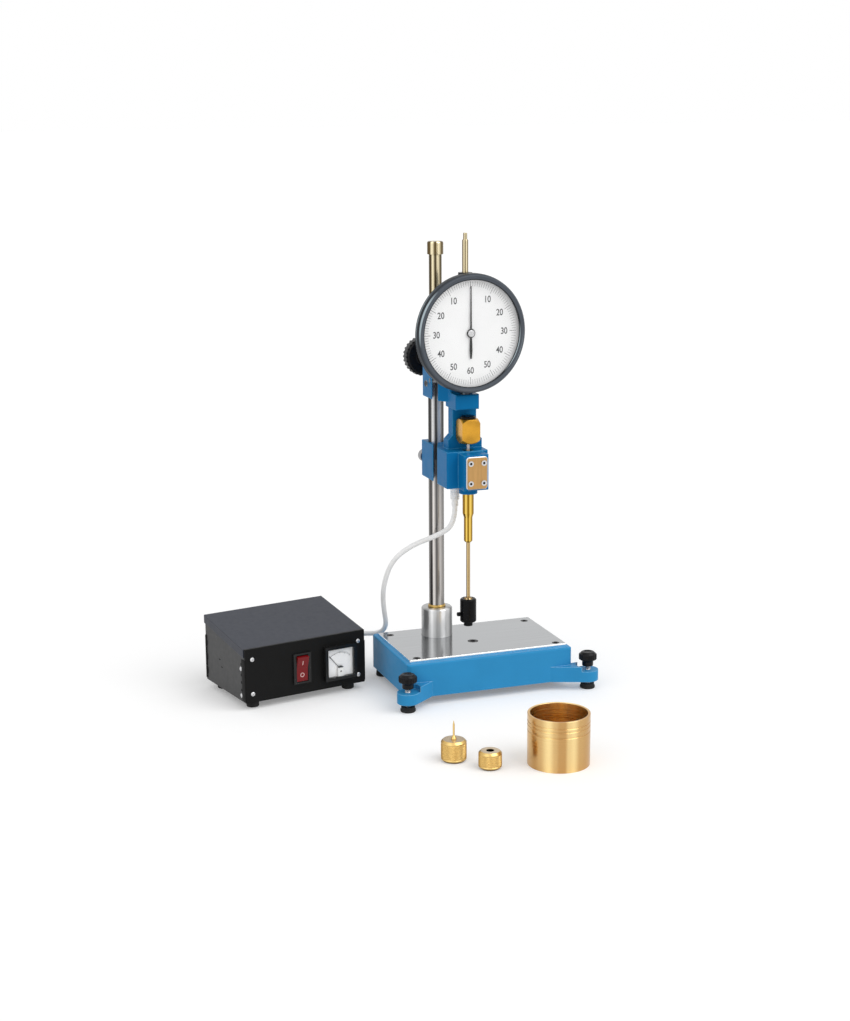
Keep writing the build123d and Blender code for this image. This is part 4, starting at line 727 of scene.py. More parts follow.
def grid_tree():
    """Tree of copies in a flat grid about the origin, turned further from row to row."""
    grid = CopyTree(GRID_TREE, ("Columns", "Rows"), ("Width", "Height", "Start", "Step"))
    given = grid.given
    sides = [given[name] for name in ("Width", "Height", "Columns", "Rows")]
    points = grid.add("GeometryNodeMeshGrid", *sides)
    row = grid.sum_of("MODULO", grid.add("GeometryNodeInputIndex"), given["Rows"])
    return grid.end(points, grid.sum_of("MULTIPLY_ADD", row, given["Step"], given["Start"]))


def copied_mesh(tree, core, copy, finish, sizes):
    """Plain mesh of a tree's copies, around a core mesh where there is one."""
    sample = linked("copy", copy)
    holder = linked("core", core or bpy.data.meshes.new("core"))
    modifier = holder.modifiers.new("Copies", "NODES")
    modifier.node_group = tree
    values = {"Copy": sample, "Material": FINISH[finish], **sizes}
    for item in tree.interface.items_tree:
        if item.name in values:
            modifier[item.identifier] = values[item.name]
    mesh = settled(holder)
    bpy.data.objects.remove(sample)
    return shaded(mesh)


def ringed_mesh(core, copy, finish, count, radius, rows=1, pitch=0.0, base=0.0, start=0.0, step=None,
                stagger=0.0):
    """Core mesh with copies set round its Z axis, sizes in millimetres and angles in radians."""
    sizes = {"Count": count, "Rows": rows, "Radius": radius * MM, "Row Pitch": pitch * MM,
             "Base Height": base * MM, "Start": start, "Step": FULL_TURN / count if step is None else step,
             "Stagger": stagger}
    tree = bpy.data.node_groups.get(RING_TREE) or ring_tree()
    return copied_mesh(tree, core, copy, finish, sizes)


def grid_mesh(copy, finish, columns, rows, width, height, start=0.0, step=0.0):
    """Copies in a grid about the origin, sizes in millimetres and turns in radians."""
    sizes = {"Columns": columns, "Rows": rows, "Width": width * MM, "Height": height * MM, "Start": start,
             "Step": step}
    tree = bpy.data.node_groups.get(GRID_TREE) or grid_tree()
    return copied_mesh(tree, None, copy, finish, sizes)


def rib_mesh(radius, length):
    """Round-ended rib along Z, standing on z = 0."""
    end = min(radius, length / 4)
    profile = [(0, 0), (radius * 0.7, 0), (radius, end), (radius, length - end), (radius * 0.7, length),
               (0, length)]
    return turned_mesh("rib", profile, 10, 0.2)


def point_mesh(width, height, depth):
    """Four-sided point of a knurl, facing +X."""
    bm = bmesh.new()
    corners = [bm.verts.new(Vector((0.0, y, z)) * MM)
               for y, z in ((width / 2, 0), (0, height / 2), (-width / 2, 0), (0, -height / 2))]
    tip = bm.verts.new(Vector((depth, 0, 0)) * MM)
    for i in range(4):
        bm.faces.new((corners[i], corners[(i + 1) % 4], tip))
    bm.faces.new(corners)
    return outward("knurl", bm)


def tick_mesh(length, width):
    """Printed line that ends on the origin and runs inwards along X."""
    mesh = block_mesh("tick", (length, width, 0.04), 0.005, 1)
    mesh.transform(at(-length / 2, 0.0))
    return mesh


def dress(finish, *nodes):
    """Give CAD nodes a finish."""
    for name in nodes:
        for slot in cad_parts[name].material_slots:
            slot.material = FINISH[finish]


def piece(name, mesh, finish, body, slot, place=None, *nodes):
    """Object of a finished mesh that rides on a body and stands for CAD nodes."""
    if place is not None:
        mesh.transform(place)
    if finish is not None:
        mesh.materials.clear()
        mesh.materials.append(FINISH[finish])
    obj = linked(name, mesh)
    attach(obj, body)
    if nodes:
        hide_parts(*nodes)


def turned(name, profile, finish, body, slot, place, *nodes, segments=96, softness=0.3):
    """Piece turned from a profile."""
    piece(name, turned_mesh(name, profile, segments, softness), finish, body, slot, place, *nodes)


class PENETROMETER_OT_lead(bpy.types.Operator):
    """White lead that hangs from the head to the control box"""
    bl_idname = "penetrometer.lead"
    bl_label = "Lead"

    def execute(self, context):
        curve = bpy.data.curves.new("lead_route", "CURVE")
        curve.dimensions = "3D"
        spline = curve.splines.new("NURBS")
        spline.points.add(len(LEAD_ROUTE) - 1)
        for point, spot in zip(spline.points, LEAD_ROUTE):
            point.co = (*(Vector(spot) * MM), 1.0)
        spline.order_u = 3
        spline.use_endpoint_u = True
        route = linked("lead_route", curve)
        line = bpy.data.meshes.new_from_object(route)
        bpy.data.meshes.remove(line)
        curve.bevel_depth = LEAD_R * MM
        curve.bevel_resolution = 5
        curve.use_fill_caps = True
        lead = linked("white_lead", shaded(settled(route)))
        lead.data.materials.clear()
        lead.data.materials.append(FINISH["white_sheath"])
        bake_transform(lead)
        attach(lead, "stand")
        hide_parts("lead")
        return {"FINISHED"}


class PENETROMETER_OT_base(bpy.types.Operator):
    """Blue base casting with the ground sample plate and its feet"""
    bl_idname = "penetrometer.base"
    bl_label = "Base and plate"

    def execute(self, context):
        dress("blue_enamel", "base_casting")
        dress("ground_steel", "sample_plate")
        dress("blackened_steel", "plate_screws")
        low, high = box_mm("rear_feet")
        r = (high.y - low.y) / 2
        tall = high.z - low.z
        profile = [(0, 0), (r - 0.6, 0), (r, 1.2), (r - 0.7, tall - 2.4), (r - 0.7, tall), (0, tall)]
        foot = turned_mesh("rear_foot", profile, 48, 0.4)
        feet = grid_mesh(foot, "black_rubber", 2, 1, high.x - low.x - 2 * r, 0.0)
        place = at((low.x + high.x) / 2, low.y + r, low.z)
        piece("base_feet", feet, "black_rubber", "stand", "rubber", place, "rear_feet")
        return {"FINISHED"}


class PENETROMETER_OT_levelling(bpy.types.Operator):
    """Ribbed levelling knobs with their threaded studs and pads"""
    bl_idname = "penetrometer.levelling"
    bl_label = "Levelling screws"

    def execute(self, context):
        for side in ("left", "right"):
            self.knob(side, context.scene.penetrometer_grips.level_ribs)
            self.stud(side)
            self.pad(side)
        return {"FINISHED"}

    def knob(self, side, ribs):
        """Mushroom knob with a ribbed rim and a dished top."""
        node = "level_knob_" + side
        place, r, z0, z1 = round_box(node)
        rim = r - 0.5
        profile = [(0, z0), (5.8, z0), (5.8, z0 + 4.6), (6.6, z0 + 5.6), (rim, z0 + 6.8), (rim, z1 - 2.6),
                   (rim - 2.4, z1 - 0.2), (4.2, z1), (3.4, z1 - 0.8), (0, z1 - 0.9)]
        core = turned_mesh(node, profile, 64, 0.7)
        rib = rib_mesh(0.8, z1 - z0 - 9.2)
        mesh = ringed_mesh(core, rib, "black_moulding", ribs, r - 0.8, base=z0 + 6.7)
        piece(node + "_ribbed", mesh, "black_moulding", "leveller_" + side, "black_plastic", place, node)

    def stud(self, side):
        """Threaded stud, the thread shown as fine ridges."""
        node = "level_stud_" + side
        place, r, z0, z1 = round_box(node)
        root = r - 0.35
        profile = [(0, z0), (root, z0)]
        for i in range(int(z1 - z0)):
            profile += [(root, z0 + i + 0.1), (r, z0 + i + 0.5), (root, z0 + i + 0.9)]
        profile += [(root, z1), (0, z1)]
        turned(node + "_threaded", profile, "turned_steel", "leveller_" + side, "steel", place, node,
               segments=48, softness=0.05)

    def pad(self, side):
        """Rubber pad with a step."""
        node = "level_foot_" + side
        place, r, z0, z1 = round_box(node)
        bore = 3.05
        profile = [(0, z0), (r - 0.6, z0), (r, z0 + 0.8), (r, z0 + 2.6), (r - 0.8, z0 + 3.2), (r - 0.8, z1),
                   (bore, z1), (bore, z0 + 2.5), (0, z0 + 2.5)]
        turned(node + "_moulded", profile, "black_rubber", "pad_" + side, "rubber", place, node, segments=48)


class PENETROMETER_OT_column(bpy.types.Operator):
    """Polished column with its turned collar, bush and cap"""
    bl_idname = "penetrometer.column"
    bl_label = "Column"

    def execute(self, context):
        place, r, z0, z1 = round_box("column")
        step = 352.0
        top_r = 6.5
        joins = (188.0, 279.0)
        bar = [(0, z0), (r, z0), *((r, z) for z in joins), (r, step - 0.6), (top_r, step), (top_r, z1),
               (0, z1)]
        mesh = turned_mesh("column", bar)
        # One chrome bar: faces below 188 mm and between 188 and 279 mm get the same chrome with different
        # painted reflections, and faces above 279 mm the gilt top.
        for face in mesh.polygons:
            face.material_index = sum(face.center.z > z * MM for z in joins)
        for finish in ("polished_chrome", "bar_chrome", "gilt_top"):
            mesh.materials.append(FINISH[finish])
        piece("polished_column", mesh, None, "stand", "chrome", place, "column")
        bore = 8.05
        _, r, z0, z1 = round_box("column_collar")
        collar = [(bore, z0), (r, z0), (r, z1 - 1.0), (r - 1.0, z1), (bore, z1)]
        turned("turned_collar", collar, "turned_aluminium", "stand", "aluminium", place, "column_collar")
        _, r, z0, z1 = round_box("column_bush")
        bush = [(bore, z0), (r, z0), (r, (z0 + z1) / 2), (bore + 0.4, z1), (bore, z1)]
        turned("brass_bush", bush, "bush_brass", "stand", "brass", place, "column_bush")
        _, r, z0, z1 = round_box("column_cap")
        seat = 6.55
        cap = [(0, z0 + 8.0), (seat, z0 + 8.0), (seat, z0), (r, z0), (r, z1 - 1.6), (r - 0.5, z1 - 0.5),
               (r - 1.6, z1), (0, z1)]
        turned("brass_cap", cap, "cap_brass", "stand", "brass", place, "column_cap")
        return {"FINISHED"}


class PENETROMETER_OT_head(bpy.types.Operator):
    """Blue head casting with its clamp screws, lock knob and cable relief"""
    bl_idname = "penetrometer.head"
    bl_label = "Head"

    def execute(self, context):
        dress("head_enamel", "head_casting")
        dress("dull_steel", "clamp_screws")
        dress("turned_steel", "lock_stud")
        self.set_screw()
        self.knob(context.scene.penetrometer_grips.lock_ribs)
        self.relief()
        return {"FINISHED"}

    def set_screw(self):
        """Dark face of the set screw in the upper arm's side."""
        r = 3.0
        y, z = 25.0, 267.0
        face = [(0, 0), (r, 0), (r, 0.3), (1.4, 0.3), (1.2, 0.1), (0, 0.1)]
        place = at(box_mm("clamp_screws")[0].x, y, z) @ turn(-90, "Y")
        turned("set_screw_face", face, "blackened_steel", "head", "black_steel", place, segments=32,
               softness=0.05)

    def knob(self, ribs):
        """Ribbed knob with a plain hub on the lock screw, turned to lie along Y."""
        low, high = box_mm("lock_knob")
        r = (high.x - low.x) / 2
        depth = high.y - low.y
        core_r = r - 0.9
        hub = 9.0
        profile = [(0, 0), (hub, 0), (hub, hub), (core_r - 2.0, hub), (core_r, hub + 2.0),
                   (core_r, depth - 2.4), (core_r - 2.0, depth - 0.4), (8.0, depth - 0.4),
                   (7.0, depth - 1.4), (0, depth - 1.4)]
        core = turned_mesh("lock_knob", profile, 84, 0.6)
        rib = rib_mesh(1.5, depth - hub - 2.2)
        mesh = ringed_mesh(core, rib, "black_moulding", ribs, r - 1.5, base=hub + 1.0)
        place = at((low.x + high.x) / 2, low.y, (low.z + high.z) / 2) @ turn(-90, "X")
        piece("ribbed_lock_knob", mesh, "black_moulding", "lock_handle", "black_plastic", place, "lock_knob")

    def relief(self):
        """White ribbed relief where the lead leaves the head."""
        place, r, z0, z1 = round_box("strain_relief")
        profile = [(0, z0), (3.4, z0), (3.4, z0 + 6.4)]
        for i in range(4):
            ridge = z0 + 7.0 + 2.2 * i
            profile += [(r, ridge), (r, ridge + 1.3), (r - 0.5, ridge + 1.45), (r - 0.5, ridge + 2.05)]
        profile += [(r, z0 + 16.0), (r, z1), (0, z1)]
        turned("ribbed_relief", profile, "white_sheath", "head", "lead_white", place, "strain_relief",
               segments=64, softness=0.15)


class PENETROMETER_OT_release(bpy.types.Operator):
    """Bronze magnet cover with its bright rim, and the magnet behind it"""
    bl_idname = "penetrometer.release"
    bl_label = "Magnet release"

    def execute(self, context):
        dress("turned_steel", "cover_screws", "release_armature")
        dress("coil_copper", "release_coil")
        low, high = box_mm("magnet_cover")
        size = high - low
        middle = (low + high) / 2
        mesh = rounded_plate_mesh("magnet_cover", size.x, size.z, size.y, 3.2, 0.8)
        mesh.materials.append(FINISH["brushed_bronze"])
        mesh.materials.append(FINISH["turned_steel"])
        place = at(middle.x, high.y, middle.z) @ turn(90, "X")
        piece("bronze_cover", mesh, None, "head", "cover_bronze", place, "magnet_cover")
        # Painted shade in the sockets of the cover screws.
        self.sockets()
        return {"FINISHED"}

    def sockets(self):
        """Painted shade: dark discs in the bottoms of the cover screws' sockets."""
        low, high = box_mm("cover_screws")
        middle = (low + high) / 2
        head_r = 2.8
        depth = 0.7
        disc = turned_mesh("socket", [(0, 0), (1.3, 0), (1.3, 0.1), (0, 0.1)], 24, 0.02)
        shade_discs = grid_mesh(disc, "jet_black", 2, 2, high.x - low.x - 2 * head_r, high.z - low.z - 2 * head_r)
        place = at(middle.x, low.y + depth, middle.z) @ turn(90, "X")
        piece("screw_sockets", shade_discs, "jet_black", "head", "black_steel", place)


class PENETROMETER_OT_plunger(bpy.types.Operator):
    """Brass plunger in its guide, with the black needle holder"""
    bl_idname = "penetrometer.plunger"
    bl_label = "Plunger"

    def execute(self, context):
        dress("plunger_brass", "plunger_head")
        place, r, z0, z1 = round_box("plunger_guide")
        bore = 2.05
        nose_r = 4.35
        nose_top = z0 + 26.0
        guide = [(bore, z1), (r, z1), (r, nose_top + 4.0), (nose_r, nose_top), (nose_r, z0 + 1.6),
                 (nose_r - 1.6, z0), (bore, z0)]
        turned("turned_guide", guide, "golden_brass", "head", "brass", place, "plunger_guide")
        _, r, z0, z1 = round_box("plunger_disc")
        disc = [(0, z0), (r, z0), (r, z1 - 0.8), (r - 0.8, z1), (0, z1)]
        turned("dark_disc", disc, "blackened_steel", "plunger", "black_steel", place, "plunger_disc",
               segments=64)
        for node, finish, slot in (("plunger_rod", "polished_chrome", "chrome"),
                                   ("plunger_tail", "pale_brass", "brass")):
            _, r, z0, z1 = round_box(node)
            rod = [(0, z0), (r, z0), (r, z1), (0, z1)]
            turned("turned_" + node, rod, finish, "plunger", slot, place, node, segments=48, softness=0.1)
        self.holder(place)
        self.side_screw()
        return {"FINISHED"}

    def holder(self, place):
        """Blackened holder with a brass collet in its top."""
        _, r, z0, z1 = round_box("needle_holder")
        socket = 1.6
        bore = 2.05
        profile = [(socket, z0), (4.5, z0), (4.5, z0 + 4.2), (r - 1.0, z0 + 4.2), (r, z0 + 5.2),
                   (r, z1 - 1.2), (r - 1.2, z1), (5.2, z1), (5.2, z1 - 0.6), (bore, z1 - 0.6),
                   (bore, z1 - 9.8), (socket, z1 - 10.2)]
        turned("blackened_holder", profile, "blackened_steel", "plunger", "black_steel", place,
               "needle_holder", segments=72)
        inner = bore + 0.03
        collet = [(inner, z1 - 0.55), (4.6, z1 - 0.55), (4.6, z1 - 0.1), (3.2, z1 + 1.0), (inner, z1 + 1.0)]
        turned("brass_collet", collet, "pale_brass", "plunger", "brass", place, segments=48, softness=0.2)

    def side_screw(self):
        """Screw that clamps the needle, with a grooved head."""
        low, high = box_mm("holder_screw")
        r = (high.z - low.z) / 2
        end = high.x - low.x
        under = end - 3.4
        screw = [(0, 0), (1.2, 0), (1.2, under), (r - 0.3, under), (r, end - 2.6), (r - 0.3, end - 1.8),
                 (r, end - 1.0), (r - 0.5, end), (0.9, end), (0.9, end - 0.7), (0, end - 0.7)]
        place = at(high.x, (low.y + high.y) / 2, (low.z + high.z) / 2) @ turn(-90, "Y")
        turned("side_screw", screw, "blackened_steel", "needle_clamp", "black_steel", place, "holder_screw",
               segments=32, softness=0.15)


class PENETROMETER_OT_gauge(bpy.types.Operator):
    """Dial gauge: slate bezel, printed dial, pointer and rod"""
    bl_idname = "penetrometer.gauge"
    bl_label = "Dial gauge"

    def execute(self, context):
        dress("slate_bezel", "dial_case")
        dress("blackened_steel", "rod_bush")
        dress("printed_dial", "dial_face")
        dress("cover_glass", "dial_crystal")
        dress("jet_black", "pointer")
        dress("plunger_brass", "arbor_bridge")
        self.bezel()
        self.printing(context.scene.penetrometer_dial)
        self.hub()
        self.rod()
        return {"FINISHED"}

    def bezel(self):
        """Round bezel with a grooved wall, a rolled front edge and a sloping inner lip."""
        r = 58.8
        seat = 54.3
        profile = [(seat, 8.0), (r - 0.6, 8.0), (r, 8.6), (r, 10.2), (r - 0.5, 10.5), (r - 0.5, 11.1),
                   (r, 11.4), (r, 13.6), (r - 0.5, 16.2), (57.0, 17.6), (56.0, 17.9), (55.2, 17.4),
                   (53.2, 17.0), (52.4, 16.4), (52.4, 16.15), (seat, 16.15)]
        turned("rolled_bezel", profile, "slate_bezel", "bezel_ring", "bezel_grey", dial_place(0.0), "bezel",
               segments=160, softness=0.35)

    def printing(self, dial):
        """Ticks and plain numbers on the dial."""
        face = 11.43
        top = math.pi / 2
        tick = tick_mesh(dial.tick_length, dial.tick_width)
        short = ringed_mesh(None, tick, "pale_ink", dial.ticks, dial.tick_outer, start=top)
        piece("dial_ticks", short, "pale_ink", "bezel_ring", "pointer_black", dial_place(face))
        mark = tick_mesh(dial.long_length, 1.3 * dial.tick_width)
        tall = ringed_mesh(None, mark, "printing_ink", dial.numbers, dial.tick_outer, start=top)
        piece("dial_long_ticks", tall, "printing_ink", "bezel_ring", "pointer_black",
              dial_place(face + 0.01))
        numbers = []
        for i in range(1, dial.numbers):
            angle = top - FULL_TURN * i / dial.numbers
            spot = at(dial.number_radius * math.cos(angle), dial.number_radius * math.sin(angle))
            value = 10 * min(i, dial.numbers - i)
            numbers.append((self.number(str(value), dial.number_height), spot))
        piece("dial_numbers", joined("dial_numbers", numbers), "printing_ink", "bezel_ring", "pointer_black",
              dial_place(face))

    def number(self, text, height):
        """Flat bold number about the origin."""
        digit_share = 0.72
        narrowing = 0.84
        curve = bpy.data.curves.new("number", "FONT")
        curve.body = text
        curve.align_x = "CENTER"
        curve.align_y = "CENTER"
        curve.size = height / digit_share * MM
        curve.extrude = 0.02 * MM
        curve.offset = 0.12 * MM
        mesh = settled(linked("number", curve))
        mesh.transform(Matrix.Diagonal((narrowing, 1.0, 1.0, 1.0)))
        return mesh

    def hub(self):
        """Bright cap on the pointer's arbor."""
        cap = [(0, 6.3), (1.0, 6.3), (1.0, 13.0), (3.6, 13.0), (3.6, 13.7), (2.9, 14.4), (0, 14.4)]
        turned("bright_arbor", cap, "turned_steel", "pointer_set", "steel", dial_place(0.0), "pointer_arbor",
               segments=48, softness=0.2)

    def rod(self):
        """Pale gauge rod with a thinner tip."""
        place, r, z0, z1 = round_box("dial_rod")
        tip = z1 - 6.5
        tip_r = 2.0
        profile = [(0, z0), (r, z0), (r, tip - 0.5), (r - 0.5, tip), (tip_r, tip), (tip_r, z1 - 0.4),
                   (tip_r - 0.3, z1), (0, z1)]
        turned("gauge_rod", profile, "rod_brass", "gauge_rod", "brass", place, "dial_rod", segments=64,
               softness=0.2)


class PENETROMETER_OT_controller(bpy.types.Operator):
    """Black control box with its frame strips, screws and feet"""
    bl_idname = "penetrometer.controller"
    bl_label = "Control box"

    def execute(self, context):
        dress("case_grey", "controller_case")
        dress("slate_lid", "controller_lid")
        dress("panel_black", "front_panel", "rear_panel")
        dress("gloss_black", "mains_inlet")
        dress("black_moulding", "lead_gland")
        dress("core_iron", "transformer")
        dress("board_laminate", "circuit_board")
        self.screws()
        self.feet()
        self.trim()
        return {"FINISHED"}

    def slotted_head(self):
        """Round screw head on the XY plane with a slot along X."""
        r = 2.4
        tall = 1.4
        dome = [(0, 0), (r, 0), (r, 0.5), (r - 0.5, tall - 0.3), (1.2, tall), (0, tall)]
        head = linked("screw_head", turned_mesh("screw_head", dome, 28, 0.25))
        cut = linked("screw_slot", block_mesh("screw_slot", (6.0, 0.7, 1.2), 0.05, 1))
        cut.data.transform(at(0.0, 0.0, tall))
        head.modifiers.new("Slot", "BOOLEAN").object = cut
        mesh = settled(head)
        bpy.data.objects.remove(cut)
        return mesh

    def screws(self):
        """Slotted heads on the front panel and the side walls."""
        head = self.slotted_head()
        front = grid_mesh(head, "turned_steel", 2, 2, width=120.0, height=36.0, start=0.6, step=1.1)
        pair = grid_mesh(head, "turned_steel", 2, 1, width=28.0, height=0.0)
        parts = [(front, panel_place(0.0, PANEL_MID, 0.0))]
        for side in (-1, 1):
            wall = box_place(side * BOX_W / 2, -BOX_D / 2 + 10.0, PANEL_MID - 7.0)
            parts.append((pair, wall @ turn(side * 90, "Y")))
        piece("box_screws", joined("box_screws", parts), "turned_steel", "stand", "steel", None,
              "controller_screws")

    def feet(self):
        """Four rubber feet."""
        inset = 13.0
        foot = turned_mesh("box_foot", [(0, 0), (5.9, 0), (6.5, 0.9), (6.1, 8.0), (0, 8.0)], 40, 0.4)
        feet = grid_mesh(foot, "black_rubber", 2, 2, BOX_W - 2 * inset, BOX_D - 2 * inset)
        piece("box_feet", feet, "black_rubber", "stand", "rubber", box_place(0.0, 0.0, 0.0),
              "controller_feet")

    def trim(self):
        """Black frame strips at the front corners and studs along the rear corners."""
        half = BOX_W / 2
        front = -BOX_D / 2
        strip = block_mesh("strip", (0.8, 8.4, 43.0), 0.25, 2)
        edge = block_mesh("edge", (1.0, 3.0, 46.0), 0.3, 2)
        notch = turned_mesh("notch", [(0, 0), (1.7, 0), (1.7, 0.6), (1.3, 0.9), (0, 0.9)], 20, 0.2)
        barrel = [(0, -3.2), (1.5, -3.2), (2.0, -2.2), (2.0, 2.2), (1.5, 3.2), (0, 3.2)]
        stud = turned_mesh("stud", barrel, 24, 0.4)
        parts = []
        for side in (-1, 1):
            parts.append((strip, box_place(side * (half + 0.4), front + 4.2, 31.0)))
            parts.append((edge, box_place(side * (half + 0.3), -front - 1.5, 33.0)))
            for z in (20.0, 28.0, 36.0, 47.0):
                parts.append((notch, box_place(side * half, front + 8.6, z) @ turn(side * 90, "Y")))
            for z in (18.0, 33.0, 48.0):
                parts.append((stud, box_place(side * (half - 0.6), -front - 2.4, z)))
        piece("frame_strips", joined("frame_strips", parts), "jet_black", "stand", "panel_black")
        mark = block_mesh("mark", (0.3, 3.2, 1.0), 0.1, 1)
        marks = [(mark, box_place(-half - 0.1, y, z)) for y, z in ((14.0, 38.0), (9.0, 31.0))]
        piece("side_marks", joined("side_marks", marks), "jet_black", "stand", "panel_black")


class PENETROMETER_OT_switch(bpy.types.Operator):
    """Red rocker switch with its on and off marks"""
    bl_idname = "penetrometer.switch"
    bl_label = "Switch"

    def execute(self, context):
        dress("gloss_black", "switch_bezel")
        dress("red_rocker", "rocker")
        tilt = 8.0
        slope = math.degrees(math.atan2(1.6, 13.2))
        pivot = box_place(-5.0, -BOX_D / 2 + 1.6, PANEL_MID) @ turn(tilt, "X")
        ring = turned_mesh("off_mark", [(1.7, 0), (2.3, 0), (2.3, 0.06), (1.7, 0.06)], 32, 0.01)
        bar = block_mesh("on_mark", (0.7, 4.6, 0.06), 0.01, 1)
        marks = [(mesh, pivot @ at(0.0, -3.83, side * 6.6) @ turn(90 + side * slope, "X"))
                 for mesh, side in ((bar, 1), (ring, -1))]
        piece("rocker_marks", joined("rocker_marks", marks), "rocker_mark", "switch", "meter_white")
        return {"FINISHED"}


class PENETROMETER_OT_meter(bpy.types.Operator):
    """Panel meter with its printed scale"""
    bl_idname = "penetrometer.meter"
    bl_label = "Meter"

    def execute(self, context):
        dress("meter_frame", "meter_housing")
        dress("printed_dial", "meter_face")
        dress("cover_glass", "meter_window")
        dress("printing_ink", "meter_needle")
        sweep = math.radians(84)
        arc = block_mesh("scale_arc", (0.22, 0.5, 0.04), 0.005, 1)
        parts = []
        for mark, count, radius in ((tick_mesh(1.5, 0.22), 21, 18.4), (tick_mesh(2.6, 0.36), 5, 18.4),
                                    (arc, 64, 16.9)):
            marks = ringed_mesh(None, mark, "printing_ink", count, radius, start=(math.pi - sweep) / 2,
                                step=sweep / (count - 1))
            parts.append((marks, Matrix()))
        piece("meter_scale", joined("meter_scale", parts), "printing_ink", "stand", "pointer_black",
              panel_place(METER_X, PANEL_MID - 7.0, 2.22))
        return {"FINISHED"}


class PENETROMETER_OT_loose(bpy.types.Operator):
    """Brass cup, knurled weights and the needle"""
    bl_idname = "penetrometer.loose"
    bl_label = "Cup and weights"

    def execute(self, context):
        grips = context.scene.penetrometer_grips
        self.cup()
        self.weight("large_weight", "weight_large", 0.95, grips)
        self.weight("small_weight", "weight_small", 3.6, grips)
        self.needle()
        return {"FINISHED"}

    def cup(self):
        """Thin-walled cup with three fine grooves below its rim."""
        place, r, z0, z1 = round_box("sample_cup")
        inner = r - 2.4
        profile = [(0, z0), (r, z0)]
        for drop in (15.0, 9.5, 6.0):
            top = z1 - drop
            profile += [(r, top - 1.2), (r - 0.5, top - 1.0), (r - 0.5, top - 0.2), (r, top)]
        profile += [(r, z1), (inner, z1), (inner, z0 + 3.0), (0, z0 + 3.0)]
        turned("turned_cup", profile, "turned_brass", "cup", "brass", place, "sample_cup", segments=144,
               softness=0.35)

    def weight(self, node, body, bore, grips):
        """Knurled weight with plain bevelled ends."""
        place, r, z0, z1 = round_box(node)
        finish = node + "_brass"
        core_r = r - grips.knurl_depth
        edge = 2.0
        land = r - 0.1
        low = z0 + edge + 1.3
        high = z1 - edge - 1.3
        profile = [(bore, z0), (r - edge, z0), (land, z0 + edge), (land, low - 0.4), (core_r, low),
                   (core_r, high), (land, high + 0.4), (land, z1 - edge), (r - edge, z1), (bore, z1)]
        if bore < 1.0:
            seat = z1 - 8.0
            profile = [(0, z0)] + profile[1:] + [(bore, seat), (0, seat)]
        core = turned_mesh(node, profile, 96, 0.25)
        count = round(FULL_TURN * r / grips.knurl_pitch)
        rows = round(2 * (high - low) / grips.knurl_pitch)
        pitch = (high - low) / rows
        point = point_mesh(FULL_TURN * core_r / count, 2 * pitch, grips.knurl_depth)
        mesh = ringed_mesh(core, point, finish, count, core_r - 0.02, rows=rows, pitch=pitch,
                           base=low + pitch / 2, stagger=0.5)
        piece(node + "_knurled", mesh, finish, body, "brass", place, node)

    def needle(self):
        """Needle that stands in the large weight, with a cone at its foot."""
        place, r, z0, z1 = round_box("test_needle")
        shank = 0.9
        seat = round_box("large_weight")[3]
        profile = [(0, z0), (shank, z0), (shank, seat), (r, seat), (r, seat + 0.7),
                   (shank + 0.5, seat + 3.0), (shank, seat + 3.5), (shank, z1 - 4.0), (0.2, z1), (0, z1)]
        turned("test_needle_turned", profile, "large_weight_brass", "needle", "brass", place, "test_needle",
               segments=40, softness=0.12)


